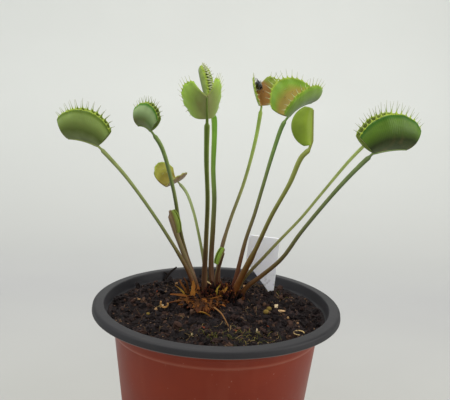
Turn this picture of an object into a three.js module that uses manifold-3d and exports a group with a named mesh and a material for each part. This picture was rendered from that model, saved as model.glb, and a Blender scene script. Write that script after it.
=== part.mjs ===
// A potted Venus flytrap: a plastic nursery pot full of peat, a rhizome with its roots, twelve
// leaves that each end in a two-lobed trap, a tuft of dead leaves, a plant tag and a caught insect.
// Millimetres. The origin is the centre of the pot's underside, +Z is up and the front is -Y.
import * as THREE from "three";
import { mergeVertices } from "three/addons/utils/BufferGeometryUtils.js";
import Module from "manifold-3d";

const wasm = await Module();
wasm.setup();

// Driving dimensions
const GAP = 0.3; // clearance between pieces that touch
const RIM_RADIUS = 50; // outer edge of the rim's top
const POT_HEIGHT = 88.7;
const FOOT_RADIUS = 32.3; // outside of the wall at the foot
const WALL_TAPER = 0.12; // how much the wall's radius grows per millimetre of height
const WALL = 1.1;
const COLLAR_HEIGHT = 11.1; // from the collar's step up to the rim
const COLLAR_STEP = 0.5;
const LIP_HEIGHT = 3.1;
const LIP_FLARE = 0.8; // how far the lip's lower edge stands out past the rim's top
const LIP_WALL = 1.1;
const RIM_INNER_RADIUS = 46.2;
const RIM_RISE = 0.4; // the rim's top is higher along its inner edge
const RIM_THICKNESS = 1.3;
const MOUTH_HEIGHT = 85.2; // where the steep inside of the rim meets the flare below it
const MOUTH_RADIUS = 45.1;
const FLARE_HEIGHT = 81.4; // where the wall begins to flare out to the rim, at about 45 degrees
const FLOOR_UNDERSIDE = 1.8;
const FLOOR = 1.8;
const PAD_RADIUS = 9; // flat pad in the middle of the underside
const FOOT_WIDTH = 3.6;
const DRAIN_HOLES = 6;
const DRAIN_RADIUS = 3.2;
const DRAIN_CIRCLE = 18.5;
const CORNER = 1.6; // bevel where the wall meets the floor
const POT_SEGMENTS = 40;
const UP = new THREE.Vector3(0, 0, 1);
const RIGHT = new THREE.Vector3(1, 0, 0);

const SOIL_EDGE = 84.9; // height of the peat along the wall
const SOIL_CROWN = 87.8; // height of the peat round the plant
const CROWN = new THREE.Vector2(-1, 13);
const CROWN_SPREAD = 15; // how wide the peat is heaped round the plant

const LOBE_THICKNESS = 0.75;
const MARGIN_SWEEP = 0.72; // share of a half ellipse that a lobe's margin follows
const END_CILIUM = 0.5; // length of the cilia at a margin's ends, as a share of the middle ones
const MIDRIB_HALF = 0.4; // half of the midrib's width
const NECK_LENGTH = 2.6; // the thin neck between leaf stalk and trap
const STALK_SIDES = 6;

// Leaves. stalk: points from the rhizome to the start of the trap's midrib. wide, thick: the
// stalk's section. lower: how much wider its lower third is. trap: heading and rise give the
// midrib's direction in degrees, roll turns the opening about it. midrib, span and height are the
// midrib's length, the width across the lobe's corners and the lobe's height along its curve.
// corner: the corners' share of the height. gape: how far each lobe leans out, in degrees.
// bend: how far a lobe curves. arch: rise of the midrib's middle over its length. shift: how far
// the lobes lie towards the tip. cilia, cilium: number on a lobe and length. lean: how far they
// lean out, in degrees. rows: strips in a lobe. neck: length of the neck, where it isn't the usual.
const LEAVES = [
  {
    stalk: [[-8.5, 10, 84], [-11, 9.5, 96], [-21.5, 9, 114.3], [-37.7, 5.5, 138], [-45.2, 3.5, 147],
      [-49.8, 2, 152]],
    wide: 2.2, thick: 1.7, lower: 1.15, green: 0x6f8438,
    trap: { heading: 168, rise: 9, roll: 0, midrib: 13, span: 22.5, height: 13.4, corner: 0.55, gape: [4, 4],
      bend: 85, arch: 0.06, shift: 0.5, cilia: 13, cilium: 4.4, lean: -8, rows: 3 },
  },
  {
    stalk: [[-8, 20, 84], [-10.4, 20.5, 93], [-14, 20.5, 103], [-16.6, 19, 113.3], [-19.9, 14, 132.5],
      [-25, 6.5, 152], [-29, 4, 158.5]],
    wide: 2, thick: 1.55, lower: 1.2, green: 0x6d8543,
    trap: { heading: 152, rise: 14, roll: 0, midrib: 6.5, span: 11.8, height: 10.5, corner: 0.6,
      gape: [4, 4], bend: 90, arch: 0.14, shift: 0.3, cilia: 11, cilium: 3.2, lean: -8, rows: 3 },
  },
  {
    stalk: [[-4, 22, 84], [-5, 21.5, 93], [-9, 27, 110], [-12, 32, 119.5], [-15.5, 36.5, 126.5],
      [-20, 40, 130.8]],
    wide: 1.4, thick: 1.1, lower: 1.2, green: 0x93a552,
    trap: { heading: 226, rise: -14, roll: -15, midrib: 7, span: 10.8, height: 10.4, corner: 0.55,
      gape: [48, 38], bend: 45, arch: 0, shift: 0, cilia: 7, cilium: 0.9, lean: 20, rows: 2 },
  },
  {
    stalk: [[-4.5, 9, 84], [-5.5, 9.5, 93], [-5.5, 8, 113], [-5.5, 4, 131], [-6.5, -1, 148.5],
      [-6.8, -6, 166]],
    wide: 1.95, thick: 1.6, lower: 1.1, green: 0x66792f,
    trap: { heading: 266, rise: 64, roll: 0, midrib: 10.2, span: 16.4, height: 13, corner: 0.52,
      gape: [53, 17], bend: 42, arch: 0, shift: 0.8, cilia: 11, cilium: 4.2, lean: 10, rows: 3 },
  },
  {
    stalk: [[-1, 25, 84], [-3, 25, 95], [-3, 26, 115], [-3, 28, 126], [-4, 30, 138.5], [-4.2, 32, 155],
      [-4.8, 33, 161], [-7.9, 34, 168.3]],
    wide: 2.4, thick: 1.6, lower: 1, neck: 8, green: 0x5d8a26,
    trap: { heading: 115, rise: 52, roll: 0, midrib: 11.5, span: 16.5, height: 7.6, corner: 0.5,
      gape: [3, 9], bend: 80, arch: 0, shift: 0, cilia: 11, cilium: 3.4, lean: -14, rows: 3 },
  },
  {
    stalk: [[1.5, 21.5, 84], [0, 21.5, 95], [1, 22.5, 105], [4, 25, 117], [9.5, 29, 134], [13.5, 33, 151.5],
      [15.5, 36, 166]],
    wide: 1.6, thick: 1.4, lower: 1.2, green: 0x7f9146,
    trap: { heading: 118, rise: 60, roll: 4, midrib: 9, span: 12.5, height: 10.8, corner: 0.5,
      gape: [26, 40], bend: 34, arch: 0, shift: 0.6, cilia: 9, cilium: 4.2, lean: 0, rows: 3 },
  },
  {
    stalk: [[4.5, 18, 84], [7, 17, 92], [11, 16, 112], [14, 15.5, 123], [16.5, 14.5, 134], [20.5, 13, 151.5],
      [23.5, 12.5, 162], [25.5, 12, 165.5]],
    wide: 2, thick: 1.75, lower: 1.1, green: 0x64793b,
    trap: { heading: 30, rise: 26, roll: 0, midrib: 12.5, span: 20, height: 14, corner: 0.45, gape: [45, 36],
      bend: 55, arch: 0.1, shift: 0, cilia: 13, cilium: 4.2, lean: 0, rows: 3 },
  },
  {
    stalk: [[5, 10, 84], [8.5, 10.5, 94], [15, 7, 110.5], [20.5, 0.5, 127], [26.5, -6, 142],
      [30, -11, 153.5], [32.5, -12, 156.8], [33.3, -12, 159]],
    wide: 2.1, thick: 1.8, lower: 1.4, green: 0x72872f,
    trap: { heading: 0, rise: 92, roll: 0, midrib: 13.5, span: 15, height: 8.3, corner: 0.35, gape: [4, 4],
      bend: 80, arch: 0, shift: 0, cilia: 0, cilium: 0, lean: 0, rows: 3 },
  },
  {
    stalk: [[8.5, 14, 84], [12, 12, 92], [18.5, 10.5, 98.5], [26, 7.5, 107], [33, 3, 120], [46, -6, 141.5],
      [52.8, -11, 151.5], [57, -14, 157]],
    wide: 2.3, thick: 1.8, lower: 1.1, green: 0x5f7331,
    trap: { heading: 22, rise: 4, roll: 0, midrib: 15, span: 27, height: 15.5, corner: 0.5, gape: [4, 10],
      bend: 92, arch: 0.04, shift: -0.8, cilia: 15, cilium: 5, lean: -8, rows: 3 },
  },
  {
    stalk: [[8, 20.5, 84], [10.5, 18, 93], [18.5, 17.5, 103.5], [26, 18, 112.5], [33.8, 19, 121.5],
      [42, 20, 132.5], [53, 21.5, 147], [61, 22.5, 156]],
    wide: 1.6, thick: 1.35, lower: 1.1, green: 0x7c9240,
    trap: { heading: 20, rise: 5, roll: 0, midrib: 9, span: 15, height: 9.5, corner: 0.45, gape: [4, 4],
      bend: 85, arch: 0.04, shift: 0, cilia: 9, cilium: 3, lean: -8, rows: 2 },
  },
  {
    stalk: [[-7.3, 15.5, 84], [-9.9, 15.3, 93.3], [-14.6, 15, 105], [-18.4, 14, 115], [-20.6, 13.2, 122.5],
      [-20.7, 12.3, 124]],
    wide: 3, thick: 2.6, lower: 1.25, green: 0x7a6a48,
    trap: { heading: -25, rise: -70, roll: 0, midrib: 9.4, span: 9.8, height: 3.1, corner: 0.55,
      gape: [4, 4], bend: 90, arch: 0, shift: 0, cilia: 0, cilium: 0, lean: 0, rows: 2 },
  },
  {
    stalk: [[1, 14.5, 84], [-0.5, 14, 95], [0.8, 12, 103.5], [1.9, 9, 109.8]],
    wide: 1.8, thick: 1.6, lower: 1.2, green: 0x7b6f42,
    trap: { heading: 215, rise: -66, roll: 0, midrib: 7, span: 7.4, height: 2.2, corner: 0.55, gape: [4, 4],
      bend: 90, arch: 0, shift: 0, cilia: 0, cilium: 0, lean: 0, rows: 2 },
  },
];
const INSECT_LEAF = 5; // index of the leaf whose trap holds the insect

// The rhizome, centred under the crown, and its roots: where each one ends
const RHIZOME_CENTRE = new THREE.Vector3(-0.2, 16.5, 77.5);
const RHIZOME_HALF = new THREE.Vector3(14, 12, 10.8);
const ROOT_ENDS = [[-16, 8, 34], [-4, 24, 26], [8, 6, 22], [15, 22, 38]];
const ROOT_RADIUS = 0.9;

// Dead leaves: a tuft in front of the stalks
const TUFT_CENTRE = new THREE.Vector3(-6, 4.5, 87.4);
const TUFT_HALF = new THREE.Vector3(8.6, 7, 4.6);
const DEAD_BLADES = 20;

// The plant tag, which leans a little in the peat
const TAG_WIDTH = 13.5;
const TAG_LENGTH = 43;
const TAG_SPIKE = 19; // length of the narrow end in the peat, along the tag's right edge
const TAG_SPIKE_WIDTH = 2.6;
const TAG_SHOULDER = 31; // from the tip to where the strip has its full width
const TAG_THICKNESS = 0.8;
const TAG_TIP = new THREE.Vector3(16.5, 26, 68);
const TAG_LEAN = 4; // degrees to the right
const TAG_TURN = 4; // degrees, with its right edge to the front

// A random number between 0 and 1 from a whole number, the same on each run
function draw(index) {
  const value = Math.sin(index * 127.1 + 11.7) * 43758.5453;
  return value - Math.floor(value);
}

// Solids: joining and cutting
function solidOf(geometry) {
  const bare = geometry.clone();
  bare.deleteAttribute("normal");
  bare.deleteAttribute("uv");
  const merged = mergeVertices(bare, 1e-4);
  const corners = merged.index.array;
  const triangles = [];
  for (let i = 0; i < corners.length; i += 3) {
    const [a, b, c] = corners.slice(i, i + 3);
    if (a !== b && b !== c && c !== a) triangles.push(a, b, c);
  }
  const mesh = new wasm.Mesh({
    numProp: 3,
    vertProperties: new Float32Array(merged.attributes.position.array),
    triVerts: new Uint32Array(triangles),
  });
  return new wasm.Manifold(mesh);
}

function geometryOf(solid) {
  const mesh = solid.getMesh();
  return new THREE.BufferGeometry()
    .setAttribute("position", new THREE.BufferAttribute(mesh.vertProperties, 3))
    .setIndex(new THREE.BufferAttribute(mesh.triVerts, 1));
}

function joined(geometries) {
  return geometries.map(solidOf).reduce((whole, piece) => whole.add(piece));
}

// The largest body of a solid, without loose scraps
function largest(solid) {
  return solid.decompose().reduce((a, b) => (a.volume() > b.volume() ? a : b));
}

// A closed skin over rings of points that run the right-hand way round the direction of travel
function skin(rings) {
  const sides = rings[0].length;
  const points = rings.flat();
  const corners = [];
  for (let i = 0; i + 1 < rings.length; i++) {
    for (let k = 0; k < sides; k++) {
      const next = (k + 1) % sides;
      const [a, b, c, d] = [i * sides + k, i * sides + next, (i + 1) * sides + next, (i + 1) * sides + k];
      corners.push(a, b, c, a, c, d);
    }
  }
  for (const [ring, first] of [[rings[0], true], [rings.at(-1), false]]) {
    const offset = first ? 0 : (rings.length - 1) * sides;
    const middle = points.length;
    points.push(ring.reduce((sum, p) => sum.add(p), new THREE.Vector3()).divideScalar(sides));
    for (let k = 0; k < sides; k++) {
      const [a, b] = [offset + k, offset + ((k + 1) % sides)];
      corners.push(middle, first ? b : a, first ? a : b);
    }
  }
  const geometry = new THREE.BufferGeometry().setFromPoints(points);
  geometry.setIndex(corners);
  return geometry;
}

// An elliptic ring round a centre, with half axes along two directions at right angles
function ring(centre, across, up, halfAcross, halfUp, sides) {
  return Array.from({ length: sides }, (_, k) => {
    const angle = (2 * Math.PI * k) / sides;
    return centre
      .clone()
      .addScaledVector(across, halfAcross * Math.cos(angle))
      .addScaledVector(up, halfUp * Math.sin(angle));
  });
}

// An ellipsoid along the direction of travel, from its back pole to its front pole
function ellipsoid(centre, along, across, half, sides, bands) {
  const up = new THREE.Vector3().crossVectors(along, across);
  const rings = [];
  for (let i = 0; i < bands; i++) {
    const angle = Math.PI * ((i + 0.5) / bands);
    const middle = centre.clone().addScaledVector(along, -half.x * Math.cos(angle));
    rings.push(ring(middle, across, up, half.y * Math.sin(angle), half.z * Math.sin(angle), sides));
  }
  return skin(rings);
}

// The pot
function wallRadius(z) {
  return FOOT_RADIUS + WALL_TAPER * z;
}

function insideRadius(z) {
  return wallRadius(z) - WALL;
}

// The inside of the flare between the wall and the rim
function flareRadius(z) {
  const share = (z - FLARE_HEIGHT) / (MOUTH_HEIGHT - FLARE_HEIGHT);
  return THREE.MathUtils.lerp(insideRadius(FLARE_HEIGHT), MOUTH_RADIUS, share);
}

function potProfile() {
  const floorTop = FLOOR_UNDERSIDE + FLOOR;
  const step = POT_HEIGHT - COLLAR_HEIGHT;
  const lipBottom = POT_HEIGHT - LIP_HEIGHT;
  const lipInside = RIM_RADIUS + LIP_FLARE - LIP_WALL;
  const flareOutside = MOUTH_RADIUS + WALL + 0.5;
  return [
    [0, 0],
    [PAD_RADIUS, 0],
    [PAD_RADIUS + 1, FLOOR_UNDERSIDE],
    [FOOT_RADIUS - FOOT_WIDTH - 1, FLOOR_UNDERSIDE],
    [FOOT_RADIUS - FOOT_WIDTH, 0],
    [FOOT_RADIUS - 0.5, 0],
    [wallRadius(0.8), 0.8],
    [wallRadius(step), step],
    [wallRadius(step) + COLLAR_STEP, step + 0.5],
    [wallRadius(FLARE_HEIGHT) + COLLAR_STEP, FLARE_HEIGHT - 0.2],
    [flareOutside, MOUTH_HEIGHT + 0.1],
    [flareOutside + 0.3, POT_HEIGHT - RIM_THICKNESS],
    [lipInside - 0.4, POT_HEIGHT - RIM_THICKNESS - 0.1],
    [lipInside, lipBottom],
    [lipInside + 0.5, lipBottom - 0.2],
    [RIM_RADIUS + LIP_FLARE, lipBottom + 0.3],
    [RIM_RADIUS + 0.5, POT_HEIGHT - 0.5],
    [RIM_RADIUS - 0.3, POT_HEIGHT],
    [RIM_INNER_RADIUS, POT_HEIGHT + RIM_RISE],
    [RIM_INNER_RADIUS - 0.3, POT_HEIGHT],
    [MOUTH_RADIUS, MOUTH_HEIGHT],
    [insideRadius(FLARE_HEIGHT), FLARE_HEIGHT],
    [insideRadius(floorTop + CORNER), floorTop + CORNER],
    [insideRadius(floorTop) - CORNER, floorTop],
    [0, floorTop],
  ].map(([r, z]) => new THREE.Vector2(r, z));
}

function pot() {
  const body = new THREE.LatheGeometry(potProfile(), POT_SEGMENTS);
  body.rotateX(Math.PI / 2);
  let solid = solidOf(body);
  for (let i = 0; i < DRAIN_HOLES; i++) {
    const angle = (2 * Math.PI * (i + 0.5)) / DRAIN_HOLES;
    const hole = new THREE.CylinderGeometry(DRAIN_RADIUS, DRAIN_RADIUS, 12, 12);
    hole.rotateX(Math.PI / 2);
    hole.translate(DRAIN_CIRCLE * Math.cos(angle), DRAIN_CIRCLE * Math.sin(angle), 0);
    solid = solid.subtract(solidOf(hole));
  }
  return geometryOf(solid);
}

// The peat's top: low along the wall, heaped round the plant, lumpy all over
function soilHeight(x, y) {
  const away = Math.hypot(x - CROWN.x, y - CROWN.y);
  const heap = (SOIL_CROWN - SOIL_EDGE) * Math.exp(-((away / CROWN_SPREAD) ** 2) / 2);
  const lumps =
    0.5 * Math.sin(0.41 * x + 1.3) * Math.cos(0.47 * y - 0.7) +
    0.35 * Math.sin(0.83 * x - 0.38 * y + 2.1) +
    0.3 * Math.cos(0.29 * x + 0.91 * y);
  const fade = Math.min(1, (flareRadius(SOIL_EDGE) - Math.hypot(x, y)) / 8);
  return SOIL_EDGE + heap + lumps * Math.max(0, fade);
}

// A body under the peat's top, shrunk at the wall and raised by the given amounts
function soilBody(shrink, raise) {
  const bottom = FLOOR_UNDERSIDE + FLOOR + GAP;
  const circle = (radius, height) =>
    Array.from({ length: POT_SEGMENTS }, (_, k) => {
      const angle = (2 * Math.PI * k) / POT_SEGMENTS;
      const [x, y] = [radius * Math.cos(angle), radius * Math.sin(angle)];
      return new THREE.Vector3(x, y, height ?? soilHeight(x, y) + raise);
    });
  const rings = [
    circle(insideRadius(bottom) - CORNER - shrink, bottom),
    circle(insideRadius(bottom + CORNER) - shrink, bottom + CORNER),
    circle(insideRadius(FLARE_HEIGHT) - shrink, FLARE_HEIGHT),
  ];
  const edge = flareRadius(SOIL_EDGE) - shrink * Math.SQRT2;
  for (const share of [1, 0.88, 0.76, 0.64, 0.52, 0.4, 0.27, 0.13]) {
    rings.push(circle(edge * share));
  }
  return skin(rings);
}

// A body swept through stations, each with its place, direction, width and thickness
function sweep(stations, sideways, sides) {
  const rings = stations.map(({ at, along, wide, thick }) => {
    const up = new THREE.Vector3().crossVectors(along, sideways).normalize();
    const across = new THREE.Vector3().crossVectors(up, along);
    return ring(at, across, up, wide / 2, thick / 2, sides);
  });
  return skin(rings);
}

// A trap's own directions: along the midrib, towards the opening, and sideways
function trapAxes({ heading, rise, roll }) {
  const [a, b, c] = [heading, rise, roll].map(THREE.MathUtils.degToRad);
  const along = new THREE.Vector3(Math.cos(b) * Math.cos(a), Math.cos(b) * Math.sin(a), Math.sin(b));
  const open = new THREE.Vector3(-Math.sin(b) * Math.cos(a), -Math.sin(b) * Math.sin(a), Math.cos(b));
  open.applyAxisAngle(along, c);
  return { along, open, side: new THREE.Vector3().crossVectors(along, open) };
}

// A point of the midrib, from 0 at the neck to 1 at the tip
function midribPoint(leaf, share) {
  const { trap } = leaf;
  const { along, open } = trapAxes(trap);
  return new THREE.Vector3(...leaf.stalk.at(-1))
    .addScaledVector(along, trap.midrib * share)
    .addScaledVector(open, trap.arch * trap.midrib * (1 - (2 * share - 1) ** 2));
}

// The stalk with its neck and the midrib that continues it; grow widens it all round
function stalk(leaf, grow = 0) {
  const { along: tipAlong, open } = trapAxes(leaf.trap);
  const points = leaf.stalk.map((p) => new THREE.Vector3(...p));
  const curve = new THREE.CatmullRomCurve3(points, false, "centripetal");
  const length = curve.getLength();
  const lean = points.at(-1).clone().sub(points[0]).setZ(0).normalize();
  const sideways = new THREE.Vector3(-lean.y, lean.x, 0);
  const shoulder = length - (leaf.neck ?? NECK_LENGTH);
  // Each pair: place along the stalk, and the section there as a share of its usual size
  const sections = [
    [0, 1.3 * leaf.lower],
    [0.12 * shoulder, 1.1 * leaf.lower],
    [0.29 * shoulder, leaf.lower],
    [0.36 * shoulder, 1],
    [0.52 * shoulder, 0.95],
    [0.7 * shoulder, 0.95],
    [0.86 * shoulder, 1.05],
    [shoulder - 0.6, 1.15],
    [shoulder + 0.8, 0.62],
    [length - 0.5, 0.6],
  ];
  const stations = sections.map(([distance, share]) => ({
    at: curve.getPointAt(distance / length),
    along: curve.getTangentAt(distance / length),
    wide: leaf.wide * share + 2 * grow,
    thick: leaf.thick * share + 2 * grow,
  }));
  stations[0].at.addScaledVector(stations[0].along, -2 * grow);
  for (const [share, size] of [[0.15, 1.1], [0.95, 0.8]]) {
    stations.push({
      at: midribPoint(leaf, share).addScaledVector(open, -0.3),
      along: tipAlong,
      wide: size + 2 * grow,
      thick: size + 2 * grow,
    });
  }
  return sweep(stations, sideways, STALK_SIDES);
}

// A point of a lobe's middle surface. turn runs from -90 to 90 degrees round the margin,
// out from 0 at the midrib to 1 at the margin, which is 1 for the one lobe and -1 for the other.
function lobePoint(leaf, turn, out, which) {
  const { trap } = leaf;
  const { along, open, side } = trapAxes(trap);
  const share = turn / (Math.PI / 2);
  const sweep = turn * MARGIN_SWEEP;
  const last = (Math.PI / 2) * MARGIN_SWEEP;
  const crest = (Math.cos(sweep) - Math.cos(last)) / (1 - Math.cos(last));
  const tall = trap.height * (trap.corner + (1 - trap.corner) * crest);
  const atMidrib = (trap.midrib / 2) * share;
  const atMargin = ((trap.span / 2) * Math.sin(sweep)) / Math.sin(last) + trap.shift;
  const x = atMidrib + (atMargin - atMidrib) * (1 - (1 - out) ** 1.2);
  const bend = THREE.MathUtils.degToRad(trap.bend);
  const start = THREE.MathUtils.degToRad(trap.gape[which > 0 ? 0 : 1]) + bend / 2;
  const angle = start - bend * out;
  const rise = (tall * (Math.sin(start) - Math.sin(angle))) / bend;
  const away = (tall * (Math.cos(angle) - Math.cos(start))) / bend + MIDRIB_HALF * Math.min(1, 3 * out);
  const arch = trap.arch * trap.midrib * (1 - share ** 2);
  const point = new THREE.Vector3(...leaf.stalk.at(-1))
    .addScaledVector(along, trap.midrib / 2 + x)
    .addScaledVector(open, rise + arch)
    .addScaledVector(side, which * away);
  const outward =
    out === 0
      ? open.clone().negate()
      : open.clone().multiplyScalar(-Math.sin(angle)).addScaledVector(side, which * Math.cos(angle));
  return { point, outward };
}

// The direction of a cilium that stands on the margin
function ciliumDirection(leaf, turn, which) {
  const { trap } = leaf;
  const { along, open, side } = trapAxes(trap);
  const gape = trap.gape[which > 0 ? 0 : 1];
  const lean = THREE.MathUtils.degToRad(trap.lean + (gape > 10 ? gape / 2 : 0));
  const fan = 0.7 * turn;
  return along
    .clone()
    .multiplyScalar(Math.sin(fan))
    .addScaledVector(open, Math.cos(fan) * Math.cos(lean))
    .addScaledVector(side, which * Math.cos(fan) * Math.sin(lean));
}

// Both lobes as one folded sheet, with a cilium raised from every second strip of the margin
function lobes(leaf) {
  const { trap } = leaf;
  const rows = trap.rows;
  const columns = trap.cilia ? 2 * trap.cilia + 1 : 4 * trap.rows - 2;
  const points = [];
  const corners = [];
  const index = (row, column, inner) => (row * (columns + 1) + column) * 2 + (inner ? 1 : 0);
  for (let row = 0; row <= 2 * rows; row++) {
    const which = row < rows ? -1 : 1;
    const out = Math.abs(row - rows) / rows;
    for (let column = 0; column <= columns; column++) {
      const turn = Math.PI * (column / columns - 0.5);
      const { point, outward } = lobePoint(leaf, turn, out, which);
      points.push(point.clone().addScaledVector(outward, LOBE_THICKNESS / 2));
      points.push(point.clone().addScaledVector(outward, -LOBE_THICKNESS / 2));
    }
  }
  const face = (a, b, c, d) => corners.push(a, b, c, a, c, d);
  for (let row = 0; row < 2 * rows; row++) {
    for (let column = 0; column < columns; column++) {
      const cell = [[row, column], [row, column + 1], [row + 1, column + 1], [row + 1, column]];
      face(...cell.map(([r, c]) => index(r, c, false)));
      face(...cell.toReversed().map(([r, c]) => index(r, c, true)));
    }
    face(index(row, 0, false), index(row + 1, 0, false), index(row + 1, 0, true), index(row, 0, true));
    face(
      index(row + 1, columns, false),
      index(row, columns, false),
      index(row, columns, true),
      index(row + 1, columns, true),
    );
  }
  for (const [row, which] of [[0, -1], [2 * rows, 1]]) {
    for (let column = 0; column < columns; column++) {
      const strip = [
        index(row, column, false),
        index(row, column + 1, false),
        index(row, column + 1, true),
        index(row, column, true),
      ];
      if (which < 0) strip.reverse();
      if (column % 2 === 0) {
        face(...strip);
        continue;
      }
      const turn = Math.PI * ((column + 0.5) / columns - 0.5);
      const foot = lobePoint(leaf, turn, 1, which).point;
      const tip = points.length;
      const length = trap.cilium * (END_CILIUM + (1 - END_CILIUM) * Math.cos(turn));
      points.push(foot.addScaledVector(ciliumDirection(leaf, turn, which), length));
      strip.forEach((corner, k) => corners.push(corner, strip[(k + 1) % 4], tip));
    }
  }
  const geometry = new THREE.BufferGeometry().setFromPoints(points);
  geometry.setIndex(corners);
  return geometry;
}

function leafGeometry(leaf) {
  return geometryOf(joined([lobes(leaf), stalk(leaf)]));
}

// The rhizome with its roots; grow widens them all round
function rhizomeBody(grow) {
  const half = RHIZOME_HALF.clone().addScalar(grow);
  const size = new THREE.Vector3(half.z, half.x, half.y);
  const bulb = ellipsoid(RHIZOME_CENTRE, UP, RIGHT, size, 14, 7);
  const roots = ROOT_ENDS.map(([x, y, z], i) => {
    const start = RHIZOME_CENTRE.clone().lerp(new THREE.Vector3(x, y, RHIZOME_CENTRE.z), 0.4);
    const bow = new THREE.Vector3(x * 0.9, y * 0.9 + 2, (z + start.z) / 2 + 6 * draw(i));
    const curve = new THREE.CatmullRomCurve3([start, bow, new THREE.Vector3(x, y, z)]);
    const stations = [0, 0.3, 0.55, 0.8, 1].map((share) => ({
      at: curve.getPointAt(share),
      along: curve.getTangentAt(share),
      wide: 2 * (ROOT_RADIUS * (1 - 0.4 * share) + grow),
      thick: 2 * (ROOT_RADIUS * (1 - 0.4 * share) + grow),
    }));
    if (grow) stations.at(-1).at.z -= 2 * grow;
    return sweep(stations, new THREE.Vector3(1, 0.2, 0), 5);
  });
  return joined([bulb, ...roots]);
}

// The stalks' lower parts, widened by the clearance, for the holes that they stand in
function stalkHoles() {
  return LEAVES.map((leaf) => solidOf(stalk(leaf, GAP)));
}

// A dead, curled blade that leaves the tuft at a heading, for its length, and ends high or low
function deadBlade(heading, length, lift, width) {
  const away = new THREE.Vector3(Math.cos(heading), Math.sin(heading), 0);
  const sideways = new THREE.Vector3(-away.y, away.x, 0);
  const start = TUFT_CENTRE.clone().addScaledVector(away, 2.5);
  const middle = start.clone().addScaledVector(away, length * 0.55);
  middle.z += 1.6 + lift * 0.5;
  const end = start.clone().addScaledVector(away, length * (1 - 0.3 * Math.max(0, lift / 10)));
  end.z += lift;
  const curve = new THREE.CatmullRomCurve3([start, middle, end]);
  const stations = [[0.05, 1], [0.6, 0.8], [1, 0.3]].map(([share, size]) => ({
    at: curve.getPointAt(share),
    along: curve.getTangentAt(share),
    wide: width * size,
    thick: Math.max(0.6, 0.8 * size),
  }));
  return sweep(stations, sideways, 4);
}

function deadLeaves(ground) {
  const core = ellipsoid(
    TUFT_CENTRE,
    UP,
    RIGHT,
    new THREE.Vector3(TUFT_HALF.z, TUFT_HALF.x, TUFT_HALF.y),
    10,
    5,
  );
  const blades = Array.from({ length: DEAD_BLADES }, (_, i) => {
    const heading = (2 * Math.PI * (i + 0.6 * draw(i))) / DEAD_BLADES;
    const length = 9 + 6 * draw(i + 40);
    const lift = i % 3 === 0 ? 5 + 4 * draw(i + 80) : 0.5 + 2 * draw(i + 80);
    return deadBlade(heading, length, lift, 1.5 + draw(i + 120));
  });
  const tuft = ground.reduce((whole, cutter) => whole.subtract(cutter), joined([core, ...blades]));
  return geometryOf(largest(tuft));
}

// The plant tag: a strip that narrows to a spike along its right edge; grow widens it all round
function plantTag(grow = 0) {
  const right = TAG_WIDTH / 2 + grow;
  const spikeLeft = TAG_WIDTH / 2 - TAG_SPIKE_WIDTH - grow;
  const top = TAG_LENGTH + grow;
  const corner = 1;
  const outline = [
    [(right + spikeLeft) / 2, -2 * grow],
    [right, 3],
    [right, top - corner],
    [right - corner, top],
    [corner - right, top],
    [-right, top - corner],
    [-right, TAG_SHOULDER],
    [spikeLeft, TAG_SPIKE],
    [spikeLeft, 3],
  ];
  const shape = new THREE.Shape(outline.map(([x, y]) => new THREE.Vector2(x, y)));
  const depth = TAG_THICKNESS + 2 * grow;
  const tag = new THREE.ExtrudeGeometry(shape, { depth, bevelEnabled: false });
  tag.translate(0, 0, -depth / 2);
  tag.rotateX(Math.PI / 2);
  tag.rotateY(THREE.MathUtils.degToRad(TAG_LEAN));
  tag.rotateZ(-THREE.MathUtils.degToRad(TAG_TURN));
  tag.translate(...TAG_TIP.toArray());
  return tag;
}

// The caught insect: abdomen, thorax and head in a row, with two folded wings. It rests
// against the inner face of the lobe on the trap's left.
function insect() {
  const leaf = LEAVES[INSECT_LEAF];
  const { along, open } = trapAxes(leaf.trap);
  const { point, outward } = lobePoint(leaf, 0.6, 0.54, -1);
  const up = outward.clone().negate();
  const bodyRadius = 1.4;
  const middle = point.clone().addScaledVector(up, LOBE_THICKNESS / 2 + GAP + bodyRadius);
  const nose = new THREE.Vector3().crossVectors(along, up).normalize();
  if (nose.dot(open) < 0) nose.negate();
  const across = new THREE.Vector3().crossVectors(up, nose);
  const place = (forward, raised) =>
    middle.clone().addScaledVector(nose, forward).addScaledVector(up, raised);
  const lump = (forward, length, wide) =>
    ellipsoid(place(forward, 0), nose, across, new THREE.Vector3(length, wide, wide), 6, 3);
  const wings = [-1, 1].map((which) => {
    const back = nose.clone().negate().addScaledVector(across, which * 0.45).normalize();
    const root = place(0.8, 0.9).addScaledVector(across, which * 0.5);
    const stations = [[0, 0.9], [2.5, 2.1], [5, 0.9]].map(([distance, wide]) => ({
      at: root.clone().addScaledVector(back, distance),
      along: back,
      wide,
      thick: 0.6,
    }));
    return sweep(stations, across, 4);
  });
  const body = joined([lump(-1.6, 2.4, bodyRadius), lump(0.9, 1.6, 1.3), lump(2.6, 1, 1.1), ...wings]);
  return geometryOf(body);
}

// Materials
const plastic = (color) => new THREE.MeshStandardMaterial({ color, roughness: 0.55, metalness: 0 });
const plant = (color) => new THREE.MeshStandardMaterial({ color, roughness: 0.5, metalness: 0 });
const earth = (color) => new THREE.MeshStandardMaterial({ color, roughness: 0.95, metalness: 0 });

function named(name, geometry, material) {
  const mesh = new THREE.Mesh(geometry, material);
  mesh.name = name;
  return mesh;
}

// The peat has plain holes for the rhizome, the roots, the stalks and the tag
const holes = stalkHoles();
const rhizomeHole = rhizomeBody(GAP);
const soil = [rhizomeHole, solidOf(plantTag(GAP)), ...holes].reduce(
  (rest, cutter) => rest.subtract(cutter),
  solidOf(soilBody(GAP, 0)),
);
const rhizome = holes.reduce((rest, cutter) => rest.subtract(cutter), rhizomeBody(0));
const ground = [solidOf(soilBody(GAP, GAP)), rhizomeHole, ...holes];

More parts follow.
